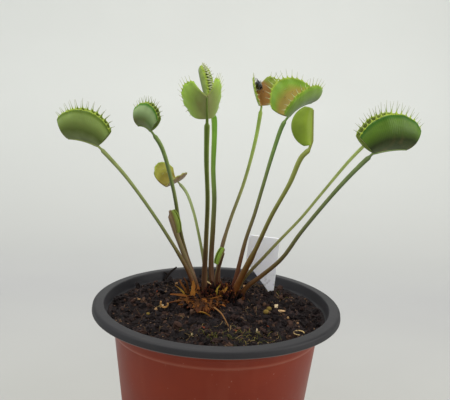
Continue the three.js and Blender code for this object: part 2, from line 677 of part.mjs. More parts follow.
const flytrap = new THREE.Group();
flytrap.add(named("pot", pot(), plastic(0x7a3020)));
flytrap.add(named("soil", geometryOf(largest(soil)), earth(0x2e2420)));
flytrap.add(named("rhizome", geometryOf(largest(rhizome)), plant(0x8f7a55)));
LEAVES.forEach((leaf, i) => {
  const name = "leaf_" + String(i + 1).padStart(2, "0");
  flytrap.add(named(name, leafGeometry(leaf), plant(leaf.green)));
});
flytrap.add(named("dead_leaves", deadLeaves(ground), earth(0x7d4a1c)));
flytrap.add(named("plant_tag", plantTag(), plastic(0xe4e4ee)));
flytrap.add(named("caught_insect", insect(), earth(0x1b1b1d)));

export default flytrap;
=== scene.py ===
"""The looks of a potted Venus flytrap: a finer pot, crumbly peat, leaves with toothed traps,
withered leaves, a plain tag and a caught insect, on a pale floor in soft light.
Shapes are worked out in millimetres, in the frame's own axes, and become metres in add_mesh."""
import math
import random

import bmesh
import bpy
import numpy as np
from mathutils import Matrix, Vector, noise


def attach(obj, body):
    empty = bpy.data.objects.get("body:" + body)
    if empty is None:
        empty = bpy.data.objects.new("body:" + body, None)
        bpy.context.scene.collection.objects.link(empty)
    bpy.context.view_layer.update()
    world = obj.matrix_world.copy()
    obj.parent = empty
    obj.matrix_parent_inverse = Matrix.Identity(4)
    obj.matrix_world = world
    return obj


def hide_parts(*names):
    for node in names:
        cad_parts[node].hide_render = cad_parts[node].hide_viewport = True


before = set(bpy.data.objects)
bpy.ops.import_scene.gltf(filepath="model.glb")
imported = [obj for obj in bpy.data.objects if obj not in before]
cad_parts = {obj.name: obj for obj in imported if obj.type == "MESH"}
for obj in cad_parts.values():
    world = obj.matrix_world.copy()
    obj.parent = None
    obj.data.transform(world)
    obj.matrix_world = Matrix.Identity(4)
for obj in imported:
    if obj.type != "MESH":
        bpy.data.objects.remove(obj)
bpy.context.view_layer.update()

MM = 0.001
UP = np.array([0.0, 0.0, 1.0])

# The pot
RIM_RADIUS = 50
POT_HEIGHT = 88.7
FOOT_RADIUS = 32.3
WALL_TAPER = 0.12
WALL = 1.1
COLLAR_HEIGHT = 11.1
COLLAR_STEP = 0.5
LIP_HEIGHT = 3.1
LIP_FLARE = 0.8
LIP_WALL = 1.1
RIM_INNER_RADIUS = 46.2
RIM_RISE = 0.4
RIM_THICKNESS = 1.3
MOUTH_HEIGHT = 85.2
MOUTH_RADIUS = 45.1
FLARE_HEIGHT = 81.4
FLOOR_UNDERSIDE = 1.8
FLOOR = 1.8
PAD_RADIUS = 9
FOOT_WIDTH = 3.6
CORNER = 1.6
DRAIN_HOLES = 6
DRAIN_RADIUS = 3.2
DRAIN_CIRCLE = 18.5
POT_COLUMNS = 192
CORNER_STEPS = 4

# The peat
GAP = 0.3
SOIL_EDGE = 84.9
SOIL_CROWN = 87.8
CROWN = (-1, 13)
CROWN_SPREAD = 15
PEAT_ROWS = 104
PEAT_COLUMNS = 360

# The peat's relief: waves per mm and height of its swell, clods, crumbs and grit
SWELL = (0.11, 1.0)
CLODS = (0.21, 2.3)
CRUMBLE = (0.62, 1.0)
GRIT = (1.3, 0.3)
CELL_MIDDLE = 0.45

# Loose bits: their numbers, and sizes in mm
CRUMBS = 4200
BIG_EVERY = 7
BIG_CRUMB = (0.6, 1.6)
SMALL_CRUMB = (0.22, 0.6)
FIBRES = 260
CURL_STATIONS = 40

# The traps
LOBE_THICKNESS = 0.75
MARGIN_THICKNESS = 0.4
MIDRIB_HALF = 0.4
NECK_LENGTH = 2.6

# Shares: of a half turn that a margin sweeps, of the longest cilium that the end ones have, and of
# the way to the margin that an inner face is blushed
MARGIN_SWEEP = 0.72
END_CILIUM = 0.5
USUAL_BLUSH = 0.42

# A lobe's inner face is seen from this gape in degrees, and its cilia stand out from this length
WIDE_OPEN = 15
SHORT_CILIUM = 2

# The bead along a margin, where it lies between midrib and margin, and the margin's ripple
BEAD = 0.06
BEAD_PLACE = 0.93
BEAD_WIDTH = 0.04
RIPPLE = 0.22

# Cilia: how deep they root in the margin, a root's half width as a share of the spacing, which
# counts up to a widest one, the half width at the tip and what it gains towards the root, and how
# much stouter crossing cilia are
ROOT_DEPTH = 0.35
ROOT_SHARE = 0.46
WIDEST_SPACING = 2.2
TIP_HALF = 0.05
SHAFT_GAIN = 0.09
CROSSING_STOUTER = 2.2

# How finely the leaves are made, and a small turn that gives the way along a margin
LOBE_ROWS = 16
LOBE_COLUMNS = 72
STALK_SIDES = 16
STALK_STATIONS = 72
NECK_STATIONS = 16
RIB_STATIONS = 14
HAIR_SIDES = 5
CILIUM_SIDES = 6
CILIUM_STEPS = np.array([0, 0.06, 0.14, 0.26, 0.42, 0.6, 0.8, 1.0])
NUDGE = 0.01


# Colours, as they look on screen
def colour(code):
    """The linear colour of a hexadecimal sRGB code."""
    parts = [int(code[i : i + 2], 16) / 255 for i in (0, 2, 4)]
    linear = [c / 12.92 if c <= 0.04045 else ((c + 0.055) / 1.055) ** 2.4 for c in parts]
    return (*linear, 1.0)


# The leaves
def leaf_values(stalk, wide, thick, lower, outer, inner, stem, neck=NECK_LENGTH, crossing=0, **own):
    """One leaf: its stalk, its colours, and its trap's values over those that most traps share."""
    shared = dict(roll=0, gape=(4, 4), arch=0, shift=0, cilia=0, cilium=0, lean=0, blush=USUAL_BLUSH)
    return dict(stalk=stalk, wide=wide, thick=thick, lower=lower, outer=outer, inner=inner,
                stem=stem, neck=neck, crossing=crossing, trap=shared | own)


# Each leaf as it is in the frame, from the left: the stalk's points, its width, its thickness and
# how much broader it is low down, then the trap's directions in degrees and its sizes. Crossing is
# how far in degrees the cilia of both margins lean over one another.
# The colours of outer and inner run from the midrib to the margin, of stem from crown to neck.
# The outer colours are partly the lobes' own and partly painted shade and a painted sheen.
LEAVES = [
    leaf_values(
        stalk=[(-8.5, 10, 84), (-11, 9.5, 96), (-21.5, 9, 114.3), (-37.7, 5.5, 138),
               (-45.2, 3.5, 147), (-49.8, 2, 152)],
        wide=2.2, thick=1.7, lower=1.15,
        heading=168, rise=9, midrib=13, span=22.5, height=13.4, corner=0.55,
        bend=85, arch=0.06, shift=0.5, cilia=13, cilium=4.4, lean=-8,
        outer=("7d8a58", "5b6a2c", "84994c", "5c741c"), inner=("74843a", "90a44c"),
        stem=("6c4228", "6e7842", "96a25e"),
    ),
    leaf_values(
        stalk=[(-8, 20, 84), (-10.4, 20.5, 93), (-14, 20.5, 103), (-16.6, 19, 113.3),
               (-19.9, 14, 132.5), (-25, 6.5, 152), (-29, 4, 158.5)],
        wide=2, thick=1.55, lower=1.2,
        heading=152, rise=14, midrib=6.5, span=11.8, height=10.5, corner=0.6,
        bend=90, arch=0.14, shift=0.3, cilia=11, cilium=3.2, lean=-8,
        outer=("78885a", "687e48", "9ab278", "4c8224"), inner=("74843a", "90a44c"),
        stem=("6c4228", "6c7440", "7c9a50"),
    ),
    leaf_values(
        stalk=[(-4, 22, 84), (-5, 21.5, 93), (-9, 27, 110), (-12, 32, 119.5), (-15.5, 36.5, 126.5),
               (-20, 40, 130.8)],
        wide=1.4, thick=1.1, lower=1.2,
        heading=226, rise=-14, roll=-15, midrib=7, span=10.8, height=10.4, corner=0.55,
        gape=(48, 38), bend=45, cilia=7, cilium=0.9, lean=20,
        outer=("8a6e50", "9a7c5a", "a48a64", "a88e62"), inner=("8c8030", "aeac48"),
        stem=("66603c", "8a9656", "aab880"),
    ),
    leaf_values(
        stalk=[(-4.5, 9, 84), (-5.5, 9.5, 93), (-5.5, 8, 113), (-5.5, 4, 131), (-6.5, -1, 148.5),
               (-6.8, -6, 166)],
        wide=1.95, thick=1.6, lower=1.1,
        heading=266, rise=64, midrib=10.2, span=16.4, height=13, corner=0.52,
        gape=(53, 17), bend=42, shift=0.8, cilia=11, cilium=4.2, lean=10,
        outer=("8c8c58", "8ca04a", "9cbc4a", "a4cc40"), inner=("8a9448", "9cb455"),
        stem=("74523a", "6e6c36", "769030"),
    ),
    leaf_values(
        stalk=[(-1, 25, 84), (-3, 25, 95), (-3, 26, 115), (-3, 28, 126), (-4, 30, 138.5),
               (-4.2, 32, 155), (-4.8, 33, 161), (-7.9, 34, 168.3)],
        wide=2.4, thick=1.6, lower=1, neck=8, crossing=55,
        heading=115, rise=52, midrib=11.5, span=16.5, height=7.6, corner=0.5,
        gape=(3, 9), bend=80, cilia=15, cilium=3.4, lean=-14,
        outer=("4e5e3a", "6a7c4e", "8ea24e", "9cb844"), inner=("86a040", "a8c45c"),
        stem=("6a4c34", "4e5e18", "74ac14"),
    ),
    leaf_values(
        stalk=[(1.5, 21.5, 84), (0, 21.5, 95), (1, 22.5, 105), (4, 25, 117), (9.5, 29, 134),
               (13.5, 33, 151.5), (15.5, 36, 166)],
        wide=1.6, thick=1.4, lower=1.2,
        heading=118, rise=60, roll=4, midrib=9, span=12.5, height=10.8, corner=0.5,
        gape=(26, 40), bend=34, shift=0.6, cilia=9, cilium=4.2,
        outer=("7e8c50", "869a50", "96ae50", "a2c448"), inner=("bc8c50", "a8bc50"),
        stem=("74523e", "807a4a", "98b44c"),
    ),
    leaf_values(
        stalk=[(4.5, 18, 84), (7, 17, 92), (11, 16, 112), (14, 15.5, 123), (16.5, 14.5, 134),
               (20.5, 13, 151.5), (23.5, 12.5, 162), (25.5, 12, 165.5)],
        wide=2, thick=1.75, lower=1.1,
        heading=30, rise=26, midrib=12.5, span=20, height=14, corner=0.45,
        gape=(45, 36), bend=55, arch=0.1, cilia=13, cilium=4.2, blush=0.52,
        outer=("54643c", "6c8446", "809e44", "8cb438"), inner=("a49044", "86ae38"),
        stem=("724232", "6a5e3e", "5c8a38"),
    ),
    leaf_values(
        stalk=[(5, 10, 84), (8.5, 10.5, 94), (15, 7, 110.5), (20.5, 0.5, 127), (26.5, -6, 142),
               (30, -11, 153.5), (32.5, -12, 156.8), (33.3, -12, 159)],
        wide=2.1, thick=1.8, lower=1.4,
        heading=0, rise=92, midrib=13.5, span=15, height=8.3, corner=0.35, bend=80,
        outer=("98ac42", "8ca434", "849c30", "6a862e"), inner=("849c30", "8ca434"),
        stem=("764620", "7c6e34", "a2aa4a"),
    ),
    leaf_values(
        stalk=[(8.5, 14, 84), (12, 12, 92), (18.5, 10.5, 98.5), (26, 7.5, 107), (33, 3, 120),
               (46, -6, 141.5), (52.8, -11, 151.5), (57, -14, 157)],
        wide=2.3, thick=1.8, lower=1.1,
        heading=22, rise=4, midrib=15, span=27, height=15.5, corner=0.5,
        gape=(4, 10), bend=92, arch=0.04, shift=-0.8, cilia=15, cilium=5, lean=-8,
        outer=("47542a", "283406", "5b7c22", "3a6812"), inner=("86964a", "a4b45e"),
        stem=("704a2a", "5c5e3c", "5f7a46"),
    ),
    leaf_values(
        stalk=[(8, 20.5, 84), (10.5, 18, 93), (18.5, 17.5, 103.5), (26, 18, 112.5),
               (33.8, 19, 121.5), (42, 20, 132.5), (53, 21.5, 147), (61, 22.5, 156)],
        wide=1.6, thick=1.35, lower=1.1,
        heading=20, rise=5, midrib=9, span=15, height=9.5, corner=0.45,
        bend=85, arch=0.04, cilia=9, cilium=3, lean=-8,
        outer=("5a7434", "6b8a3c", "86a44e", "4a7018"), inner=("86964a", "a4b45e"),
        stem=("70603c", "8e9450", "9cae5c"),
    ),
    leaf_values(
        stalk=[(-7.3, 15.5, 84), (-9.9, 15.3, 93.3), (-14.6, 15, 105), (-18.4, 14, 115),
               (-20.6, 13.2, 122.5), (-20.7, 12.3, 124)],
        wide=3, thick=2.6, lower=1.25,
        heading=-25, rise=-70, midrib=9.4, span=9.8, height=3.1, corner=0.55, bend=90,
        outer=("7a4a3a", "7e6a40", "86983e", "8aa640"), inner=("7e6a40", "86983e"),
        stem=("724632", "8e6c58", "967258"),
    ),
    leaf_values(
        stalk=[(1, 14.5, 84), (-0.5, 14, 95), (0.8, 12, 103.5), (1.9, 9, 109.8)],
        wide=1.8, thick=1.6, lower=1.2,
        heading=215, rise=-66, midrib=7, span=7.4, height=2.2, corner=0.55, bend=90,
        outer=("7a5a3c", "86903c", "84a238", "6e8a30"), inner=("7e6a40", "86983e"),
        stem=("70432f", "7a5440", "7e6048"),
    ),
]
INSECT_LEAF = LEAVES[5]

# The zones of a leaf, how dense its veins are, and colours that all leaves share
STALK_ZONE, LOBE_ZONE, TOOTH_ZONE = 0.0, 1.0, 2.0
VEINS = 70.0
PATCH_BROWN = "80643a"
TOOTH_ROOT = "a4ba40"
TOOTH_SHAFT = "a9b884"
TOOTH_TIP = "a8a892"
PALE_SHAFT = "d4dcaa"


# Meshes
def add_object(name, data):
    """An object of the scene that shows the mesh, light or camera data."""
    item = bpy.data.objects.new(name, data)
    bpy.context.scene.collection.objects.link(item)
    return item


def angles_of(count):
    """Even angles all round, in radians."""
    return 2 * np.pi * np.arange(count) / count


class Shape:
    """Points in millimetres, faces, and named numbers for each point."""

    def __init__(self):
        self.points = []
        self.faces = []
        self.values = {}
        self.count = 0

    def add(self, points, faces, **values):
        """Adds points and faces; each value is one number or one number per point."""
        points = np.asarray(points, float).reshape(-1, 3)
        self.points.append(points)
        self.faces.extend([tuple(int(i) + self.count for i in face) for face in faces])
        for name in set(self.values) | set(values):
            held = self.values.setdefault(name, [np.zeros(self.count)] if self.count else [])
            held.append(np.broadcast_to(values.get(name, 0.0), len(points)).astype(float))
        self.count += len(points)


def add_mesh(name, shape, materials, replaces=(), smooth=True, face_material=None):
    """The shape as an object that rides on the part's only body."""
    mesh = bpy.data.meshes.new(name)
    mesh.from_pydata((np.concatenate(shape.points) * MM).tolist(), [], shape.faces)
    for key, parts in shape.values.items():
        mesh.attributes.new(key, "FLOAT", "POINT").data.foreach_set("value", np.concatenate(parts))
    for material in materials:
        mesh.materials.append(material)
    if face_material:
        for polygon in mesh.polygons:
            polygon.material_index = face_material(polygon)
    for polygon in mesh.polygons:
        polygon.use_smooth = smooth
    mesh.validate()
    piece = add_object(name, mesh)
    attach(piece, "root")
    for node in replaces:
        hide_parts(node)
    return piece


def unit(vector):
    vector = np.asarray(vector, float)
    return vector / np.linalg.norm(vector, axis=-1, keepdims=True)


def grid_faces(rows, columns, closed=False):
    """Quads of a grid of points, row by row; closed joins the last column to the first."""
    faces = []
    for row in range(rows - 1):
        for column in range(columns if closed else columns - 1):
            following = (column + 1) % columns
            faces.append(
                (row * columns + column, row * columns + following,
                 (row + 1) * columns + following, (row + 1) * columns + column)
            )
    return faces


def tube(shape, places, across, up, half_across, half_up, sides, section=None, **values):
    """A closed tube along places; half_across and half_up are its half axes at each place."""
    angles = angles_of(sides)
    flat, tall = np.cos(angles), np.sin(angles)
    if section is not None:
        flat, tall = section(angles)
    across, up = np.broadcast_to(across, places.shape), np.broadcast_to(up, places.shape)
    points = (
        places[:, None, :]
        + across[:, None, :] * (np.reshape(half_across, (-1, 1)) * flat)[:, :, None]
        + up[:, None, :] * (np.reshape(half_up, (-1, 1)) * tall)[:, :, None]
    )
    count = len(places)
    faces = grid_faces(count, sides, closed=True)
    faces.append(tuple(reversed(range(sides))))
    faces.append(tuple((count - 1) * sides + k for k in range(sides)))
    spread = {}
    for name, value in values.items():
        value = np.asarray(value, float)
        if value.ndim == 1 and len(value) == count:
            value = np.repeat(value, sides)
        elif value.ndim == 1 and len(value) == sides:
            value = np.tile(value, count)
        spread[name] = value
    shape.add(points, faces, **spread)


class Path:
    """A smooth curve through points, measured by its length."""

    STEPS = 24

    def __init__(self, points):
        points = np.asarray(points, float)
        ends = (2 * points[0] - points[1], 2 * points[-1] - points[-2])
        held = np.vstack([ends[0], points, ends[1]])
        places = []
        for i in range(1, len(held) - 2):
            before, start, end, after = held[i - 1 : i + 3]
            gaps = [max(1e-4, np.linalg.norm(b - a) ** 0.5)
                    for a, b in ((before, start), (start, end), (end, after))]
            leaving = (start - before) / gaps[0] - (end - before) / (gaps[0] + gaps[1])
            leaving = (leaving + (end - start) / gaps[1]) * gaps[1]
            arriving = (end - start) / gaps[1] - (after - start) / (gaps[1] + gaps[2])
            arriving = (arriving + (after - end) / gaps[2]) * gaps[1]
            t = (np.arange(self.STEPS) / self.STEPS)[:, None]
            places.append(
                start + leaving * t
                + (3 * (end - start) - 2 * leaving - arriving) * t**2
                + (2 * (start - end) + leaving + arriving) * t**3
            )
        self.places = np.vstack([*places, points[-1:]])
        steps = np.linalg.norm(np.diff(self.places, axis=0), axis=1)
        self.lengths = np.concatenate([[0], np.cumsum(steps)])
        self.length = self.lengths[-1]

    def at(self, distance):
        return np.stack([np.interp(distance, self.lengths, axis) for axis in self.places.T], axis=-1)

    def along(self, distance):
        step = 0.02 * self.length
        low = np.clip(np.asarray(distance) - step, 0, self.length)
        high = np.clip(np.asarray(distance) + step, 0, self.length)
        return unit(self.at(high) - self.at(low))


def eased(x, places, levels):
    """Levels at places, joined by smooth steps."""
    x = np.asarray(x, float)
    i = np.clip(np.searchsorted(places, x, side="right") - 1, 0, len(places) - 2)
    places, levels = np.asarray(places, float), np.asarray(levels, float)
    t = np.clip((x - places[i]) / (places[i + 1] - places[i]), 0, 1)
    return levels[i] + (levels[i + 1] - levels[i]) * t * t * (3 - 2 * t)


def level_side(start, end):
    """The level direction square to the way from start to end."""
    away = unit([end[0] - start[0], end[1] - start[1], 0])
    return np.array([-away[1], away[0], 0])


def axes_of(along, sideways):
    """Across and up for a tube that runs along, with its width near sideways."""
    up = unit(np.cross(along, sideways))
    return np.cross(up, along), up


# Materials
# The Mix node's sockets for its two colours and for the colour that it makes
MIX_COLOURS = (6, 7)
MIX_RESULT = 2

# How far light spreads under a thin skin, in all and in red, green and blue
SUBSURFACE_REACH = 1.2
SUBSURFACE_TINT = (1.0, 1.0, 0.3)


class Shader:
    """A node material around one Principled shader."""

    def __init__(self, name, roughness, specular, subsurface=0.0):
        self.material = bpy.data.materials.new(name)
        self.material.use_nodes = True
        self.tree = self.material.node_tree
        self.body = self.tree.nodes["Principled BSDF"]
        sockets = {"Roughness": roughness, "Specular IOR Level": specular}
        if subsurface:
            sockets["Subsurface Weight"] = subsurface
            sockets["Subsurface Radius"] = SUBSURFACE_TINT
            sockets["Subsurface Scale"] = SUBSURFACE_REACH * MM
        self.feed(self.body, sockets)

    def feed(self, node, sockets):
        """Links or sets a node's sockets, given by name or number."""
        for name, value in sockets.items():
            if isinstance(value, bpy.types.NodeSocket):
                self.tree.links.new(value, node.inputs[name])
            else:
                node.inputs[name].default_value = value

    def node(self, kind, sockets=None, **settings):
        """A new node with its settings, and with sockets linked or set."""
        node = self.tree.nodes.new("ShaderNode" + kind)
        for key, value in settings.items():
            setattr(node, key, value)
        self.feed(node, sockets or {})
        return node

    def value(self, name):
        return self.node("Attribute", attribute_name=name).outputs["Fac"]

    def place(self):
        return self.node("TexCoord").outputs["Object"]

    def axis(self, name):
        """One coordinate of the place, in metres."""
        return self.node("SeparateXYZ", {"Vector": self.place()}).outputs[name]

    def noise(self, scale, detail=3.0, roughness=0.55, stretch=None):
        """Fractal noise; scale is in waves per metre, and stretch scales the axes first."""
        place = self.place()
        if stretch:
            place = self.node("Mapping", {"Vector": place, "Scale": stretch}).outputs["Vector"]
        sockets = {"Vector": place, "Scale": scale, "Detail": detail, "Roughness": roughness}
        return self.node("TexNoise", sockets).outputs["Fac"]

    def maths(self, operation, *values):
        return self.node("Math", dict(enumerate(values)), operation=operation).outputs["Value"]

    def times(self, first, second):
        return self.maths("MULTIPLY", first, second)

    def level(self, factor, low, high):
        """Maps factor from low..high to 0..1."""
        sockets = {"Value": factor, "From Min": low, "From Max": high}
        return self.node("MapRange", sockets).outputs["Result"]

    def ramp(self, factor, *stops):
        """A colour ramp of (place, hexadecimal colour) stops."""
        node = self.node("ValToRGB", {"Fac": factor})
        elements = node.color_ramp.elements
        while len(elements) < len(stops):
            elements.new(0.5)
        for element, (place, code) in zip(elements, stops):
            element.position = place
            element.color = colour(code)
        return node.outputs["Color"]

    def mix(self, factor, first, second, blend="MIX"):
        """Blends two colours, each a socket or a hexadecimal code."""
        colours = [colour(value) if isinstance(value, str) else value for value in (first, second)]
        sockets = {"Factor": factor} | dict(zip(MIX_COLOURS, colours))
        return self.node("Mix", sockets, data_type="RGBA", blend_type=blend).outputs[MIX_RESULT]

    def bump(self, height, strength, depth):
        """Bump from a height; depth is in millimetres."""
        sockets = {"Height": height, "Strength": strength, "Distance": depth * MM}
        self.feed(self.body, {"Normal": self.node("Bump", sockets).outputs["Normal"]})

    def paint(self, paint):
        self.feed(self.body, {"Base Color": paint})
        return self.material


def terracotta_plastic():
    shader = Shader("terracotta_plastic", roughness=0.42, specular=0.32)
    cloud = shader.noise(28, detail=4)
    streaks = shader.noise(60, detail=3, stretch=(1, 1, 0.12))
    paint = shader.ramp(cloud, (0.3, "6f1e04"), (0.7, "7f2808"))
    paint = shader.mix(shader.level(streaks, 0.55, 0.95), paint, "8a3f28")
    specks = shader.level(shader.noise(900, detail=1), 0.74, 0.78)
    paint = shader.mix(shader.times(specks, 0.25), paint, "b08c7c")
    # Painted highlight: a thin paler band along the collar's step, where light catches its edge.
    step = (POT_HEIGHT - COLLAR_HEIGHT + COLLAR_STEP) * MM
    beside = shader.maths("ABSOLUTE", shader.maths("SUBTRACT", shader.axis("Z"), step))
    painted_highlight = shader.level(beside, 1.0 * MM, 0.2 * MM)
    paint = shader.mix(shader.times(painted_highlight, 0.28), paint, "b2705a")
    shader.feed(shader.body, {"Roughness": shader.level(cloud, -0.6, 1.9)})
    shader.bump(shader.noise(240, detail=3), 0.1, 0.4)
    return shader.paint(paint)


def dark_plastic():
    shader = Shader("dark_plastic", roughness=0.38, specular=0.36)
    cloud = shader.noise(45, detail=4)
    paint = shader.ramp(cloud, (0.3, "252427"), (0.7, "323134"))
    dust = shader.level(shader.noise(420, detail=4), 0.6, 0.8)
    paint = shader.mix(shader.times(dust, 0.35), paint, "4c443c")
    squares = [shader.times(shader.axis(name), shader.axis(name)) for name in "XY"]
    away = shader.maths("SQRT", shader.maths("ADD", *squares))
    lip_bottom = POT_HEIGHT - LIP_HEIGHT
    low = shader.level(shader.axis("Z"), (lip_bottom + 0.45) * MM, (lip_bottom + 0.1) * MM)
    outside = shader.level(away, (RIM_RADIUS - 1) * MM, RIM_RADIUS * MM)
    pale_lip_edge = shader.times(low, outside)
    # Painted shade: the rim's outer face, which the front lamp lights, is painted darker.
    paint = shader.mix(shader.times(outside, 0.5), paint, "151416")
    # A pale line is painted along the lip's lower outer edge.
    paint = shader.mix(shader.times(pale_lip_edge, 0.6), paint, "8c827e")
    shader.feed(shader.body, {"Roughness": shader.level(cloud, -0.9, 1.6)})
    shader.bump(shader.noise(300, detail=3), 0.14, 0.4)
    return shader.paint(paint)


def peat_material():
    shader = Shader("peat", roughness=0.8, specular=0.25)
    crumbs = shader.noise(420, detail=6, roughness=0.75)
    paint = shader.ramp(
        crumbs, (0.36, "141013"), (0.5, "2c2122"), (0.6, "4a3732"), (0.7, "665046"), (0.82, "8c7868")
    )
    # Painted shade: the peat is painted darker in the low places of its relief.
    hollow = shader.level(shader.value("relief"), -1.5, 1.5)
    paint = shader.mix(hollow, "0c090a", paint)
    shader.bump(shader.noise(700, detail=5, roughness=0.75), 1.0, 1.0)
    return shader.paint(paint)


def lobe_paint(shader, leaf, cloud):
    """The outer and inner faces of a leaf's lobes, with their margins."""
    trap = leaf["trap"]
    drift = shader.times(shader.maths("SUBTRACT", cloud, 0.5), 0.26)
    out = shader.value("out")
    drifting = shader.maths("ADD", out, drift)
    base, middle, upper, line = leaf["outer"]
    heart, field = leaf["inner"]
    # The outer ramp is partly the lobes' own colour and partly painted light: its darker middle
    # stops hold painted shade and its paler upper stops a painted sheen.
    outer = shader.ramp(drifting, (0.0, base), (0.38, middle), (0.72, upper), (0.86, upper))
    patches = shader.level(shader.noise(120, detail=2), 0.52, 0.7)
    near_midrib = shader.times(shader.level(out, 0.7, 0.3), 0.4)
    outer = shader.mix(shader.times(patches, near_midrib), outer, PATCH_BROWN)
    blush = trap["blush"]
    inner = shader.ramp(drifting, (0.1, heart), (blush, heart), (blush + 0.28, field), (1.0, field))
    if trap["cilia"]:
        outer = shader.mix(shader.level(out, 0.84, 0.92), outer, line)
    if trap["cilium"] > SHORT_CILIUM:
        outer = shader.mix(shader.level(out, 0.965, 0.99), outer, TOOTH_ROOT)
    if max(trap["gape"]) > WIDE_OPEN:
        inner = shader.mix(shader.level(out, 0.93, 0.99), inner, TOOTH_ROOT)
    return shader.mix(shader.value("inner"), outer, inner)


def stalk_paint(shader, leaf):
    """A stalk from brown base to trap, painted light on its thin edges, painted shade on its underside.
    """
    low, middle, top = leaf["stem"]
    stem = shader.ramp(shader.value("stem"), (0.2, low), (0.5, middle), (0.85, top), (0.99, top))
    above_base = shader.level(shader.value("stem"), 0.1, 0.6)
    edge = shader.times(shader.value("edge"), above_base)
    # Painted light: the thin edges are painted paler, as light shining through them.
    stem = shader.mix(shader.times(edge, 0.4), stem, "b2bc78")
    # Painted shade: the underside is painted darker.
    return shader.mix(shader.times(shader.value("keel"), 0.6), stem, "86867c", blend="MULTIPLY")


def tooth_paint(shader, leaf):
    """Cilia from root to tip, with paler shafts where their inner side is seen."""
    seen_inside = leaf["trap"]["gape"][1] > WIDE_OPEN or leaf["crossing"]
    shaft = PALE_SHAFT if seen_inside else TOOTH_SHAFT
    stops = ((0.0, TOOTH_ROOT), (0.18, TOOTH_ROOT), (0.4, shaft), (1.0, TOOTH_TIP))
    return shader.ramp(shader.value("tip"), *stops)


def leaf_material(name, leaf):
    """Green leaf: stalk, lobes and cilia, told apart by zone, with fine veins."""
    shader = Shader(name, roughness=0.38, specular=0.2, subsurface=0.15)
    cloud = shader.noise(170, detail=4)
    paint = stalk_paint(shader, leaf)
    coats = {LOBE_ZONE: lobe_paint(shader, leaf, cloud), TOOTH_ZONE: tooth_paint(shader, leaf)}
    for zone, coat in coats.items():
        paint = shader.mix(shader.level(shader.value("zone"), zone - 0.6, zone - 0.4), paint, coat)
    paint = shader.mix(shader.level(cloud, 0.2, 1.9), paint, "2d3a12", blend="MULTIPLY")
    veins = shader.maths("SINE", shader.times(shader.value("turn"), VEINS))
    fine = shader.noise(900, detail=3)
    shader.bump(shader.maths("ADD", shader.times(veins, 0.35), fine), 0.22, 0.25)
    return shader.paint(paint)


def dead_leaf_material():
    shader = Shader("dead_leaf", roughness=0.75, specular=0.14, subsurface=0.08)
    cloud = shader.noise(260, detail=5)
    shade = shader.maths("ADD", shader.value("shade"), shader.times(cloud, 0.4))
    paint = shader.ramp(
        shade, (0.15, "100a0d"), (0.34, "21120e"), (0.56, "4a2a0e"), (0.8, "7c4a18"), (1.0, "8c7426")
    )
    paint = shader.mix(shader.level(shader.value("along"), 0.75, 1.6), paint, "6a2a14")
    shader.bump(shader.noise(500, detail=4, roughness=0.7), 0.6, 0.5)
    return shader.paint(paint)


def tag_material():
    shader = Shader("tag_plastic", roughness=0.4, specular=0.45, subsurface=0.1)
    cloud = shader.noise(60, detail=3)
    paint = shader.ramp(cloud, (0.3, "f4f4fc"), (0.7, "fafafe"))
    dirt = shader.level(shader.axis("Z"), (SOIL_EDGE + 10) * MM, (SOIL_EDGE + 2) * MM)
    dirt = shader.times(dirt, shader.level(shader.noise(500, detail=5), 0.5, 0.7))
    shader.bump(shader.noise(380, detail=2), 0.08, 0.3)
    return shader.paint(shader.mix(dirt, paint, "5a4a3e"))


def insect_material():
    shader = Shader("insect_shell", roughness=0.35, specular=0.6)
    bands = shader.noise(900, detail=3)
    paint = shader.ramp(bands, (0.45, "111114"), (0.56, "24242a"), (0.64, "a0a0a2"))
    shader.bump(bands, 0.4, 0.3)
    return shader.paint(paint)


def rhizome_material():
    shader = Shader("rhizome", roughness=0.6, specular=0.3, subsurface=0.1)
    scales = shader.noise(260, detail=5)
    shader.bump(scales, 0.6, 0.6)
    return shader.paint(shader.ramp(scales, (0.35, "6b5334"), (0.65, "b39c6c")))


def add_loose(name, shape, *stops, slot="peat", smooth=True):
    """Loose bits on the peat, each of its own shade, picked along a ramp of stops."""
    shader = Shader(name + "_paint", roughness=0.85, specular=0.2)
    grain = shader.noise(800, detail=4)
    shade = shader.maths("ADD", shader.value("shade"), shader.times(grain, 0.14))
    shader.bump(grain, 0.6, 0.4)
    material = shader.paint(shader.ramp(shade, *stops))
    add_mesh(name, shape, [material], smooth=smooth)


# The pot
def wall_radius(z):
    return FOOT_RADIUS + WALL_TAPER * z


def inside_radius(z):
    return wall_radius(z) - WALL


def flare_radius(z):
    """The inside of the flare between the wall and the rim."""
    share = (z - FLARE_HEIGHT) / (MOUTH_HEIGHT - FLARE_HEIGHT)
    return inside_radius(FLARE_HEIGHT) * (1 - share) + MOUTH_RADIUS * share


PEAT_EDGE = flare_radius(SOIL_EDGE) - GAP * math.sqrt(2)


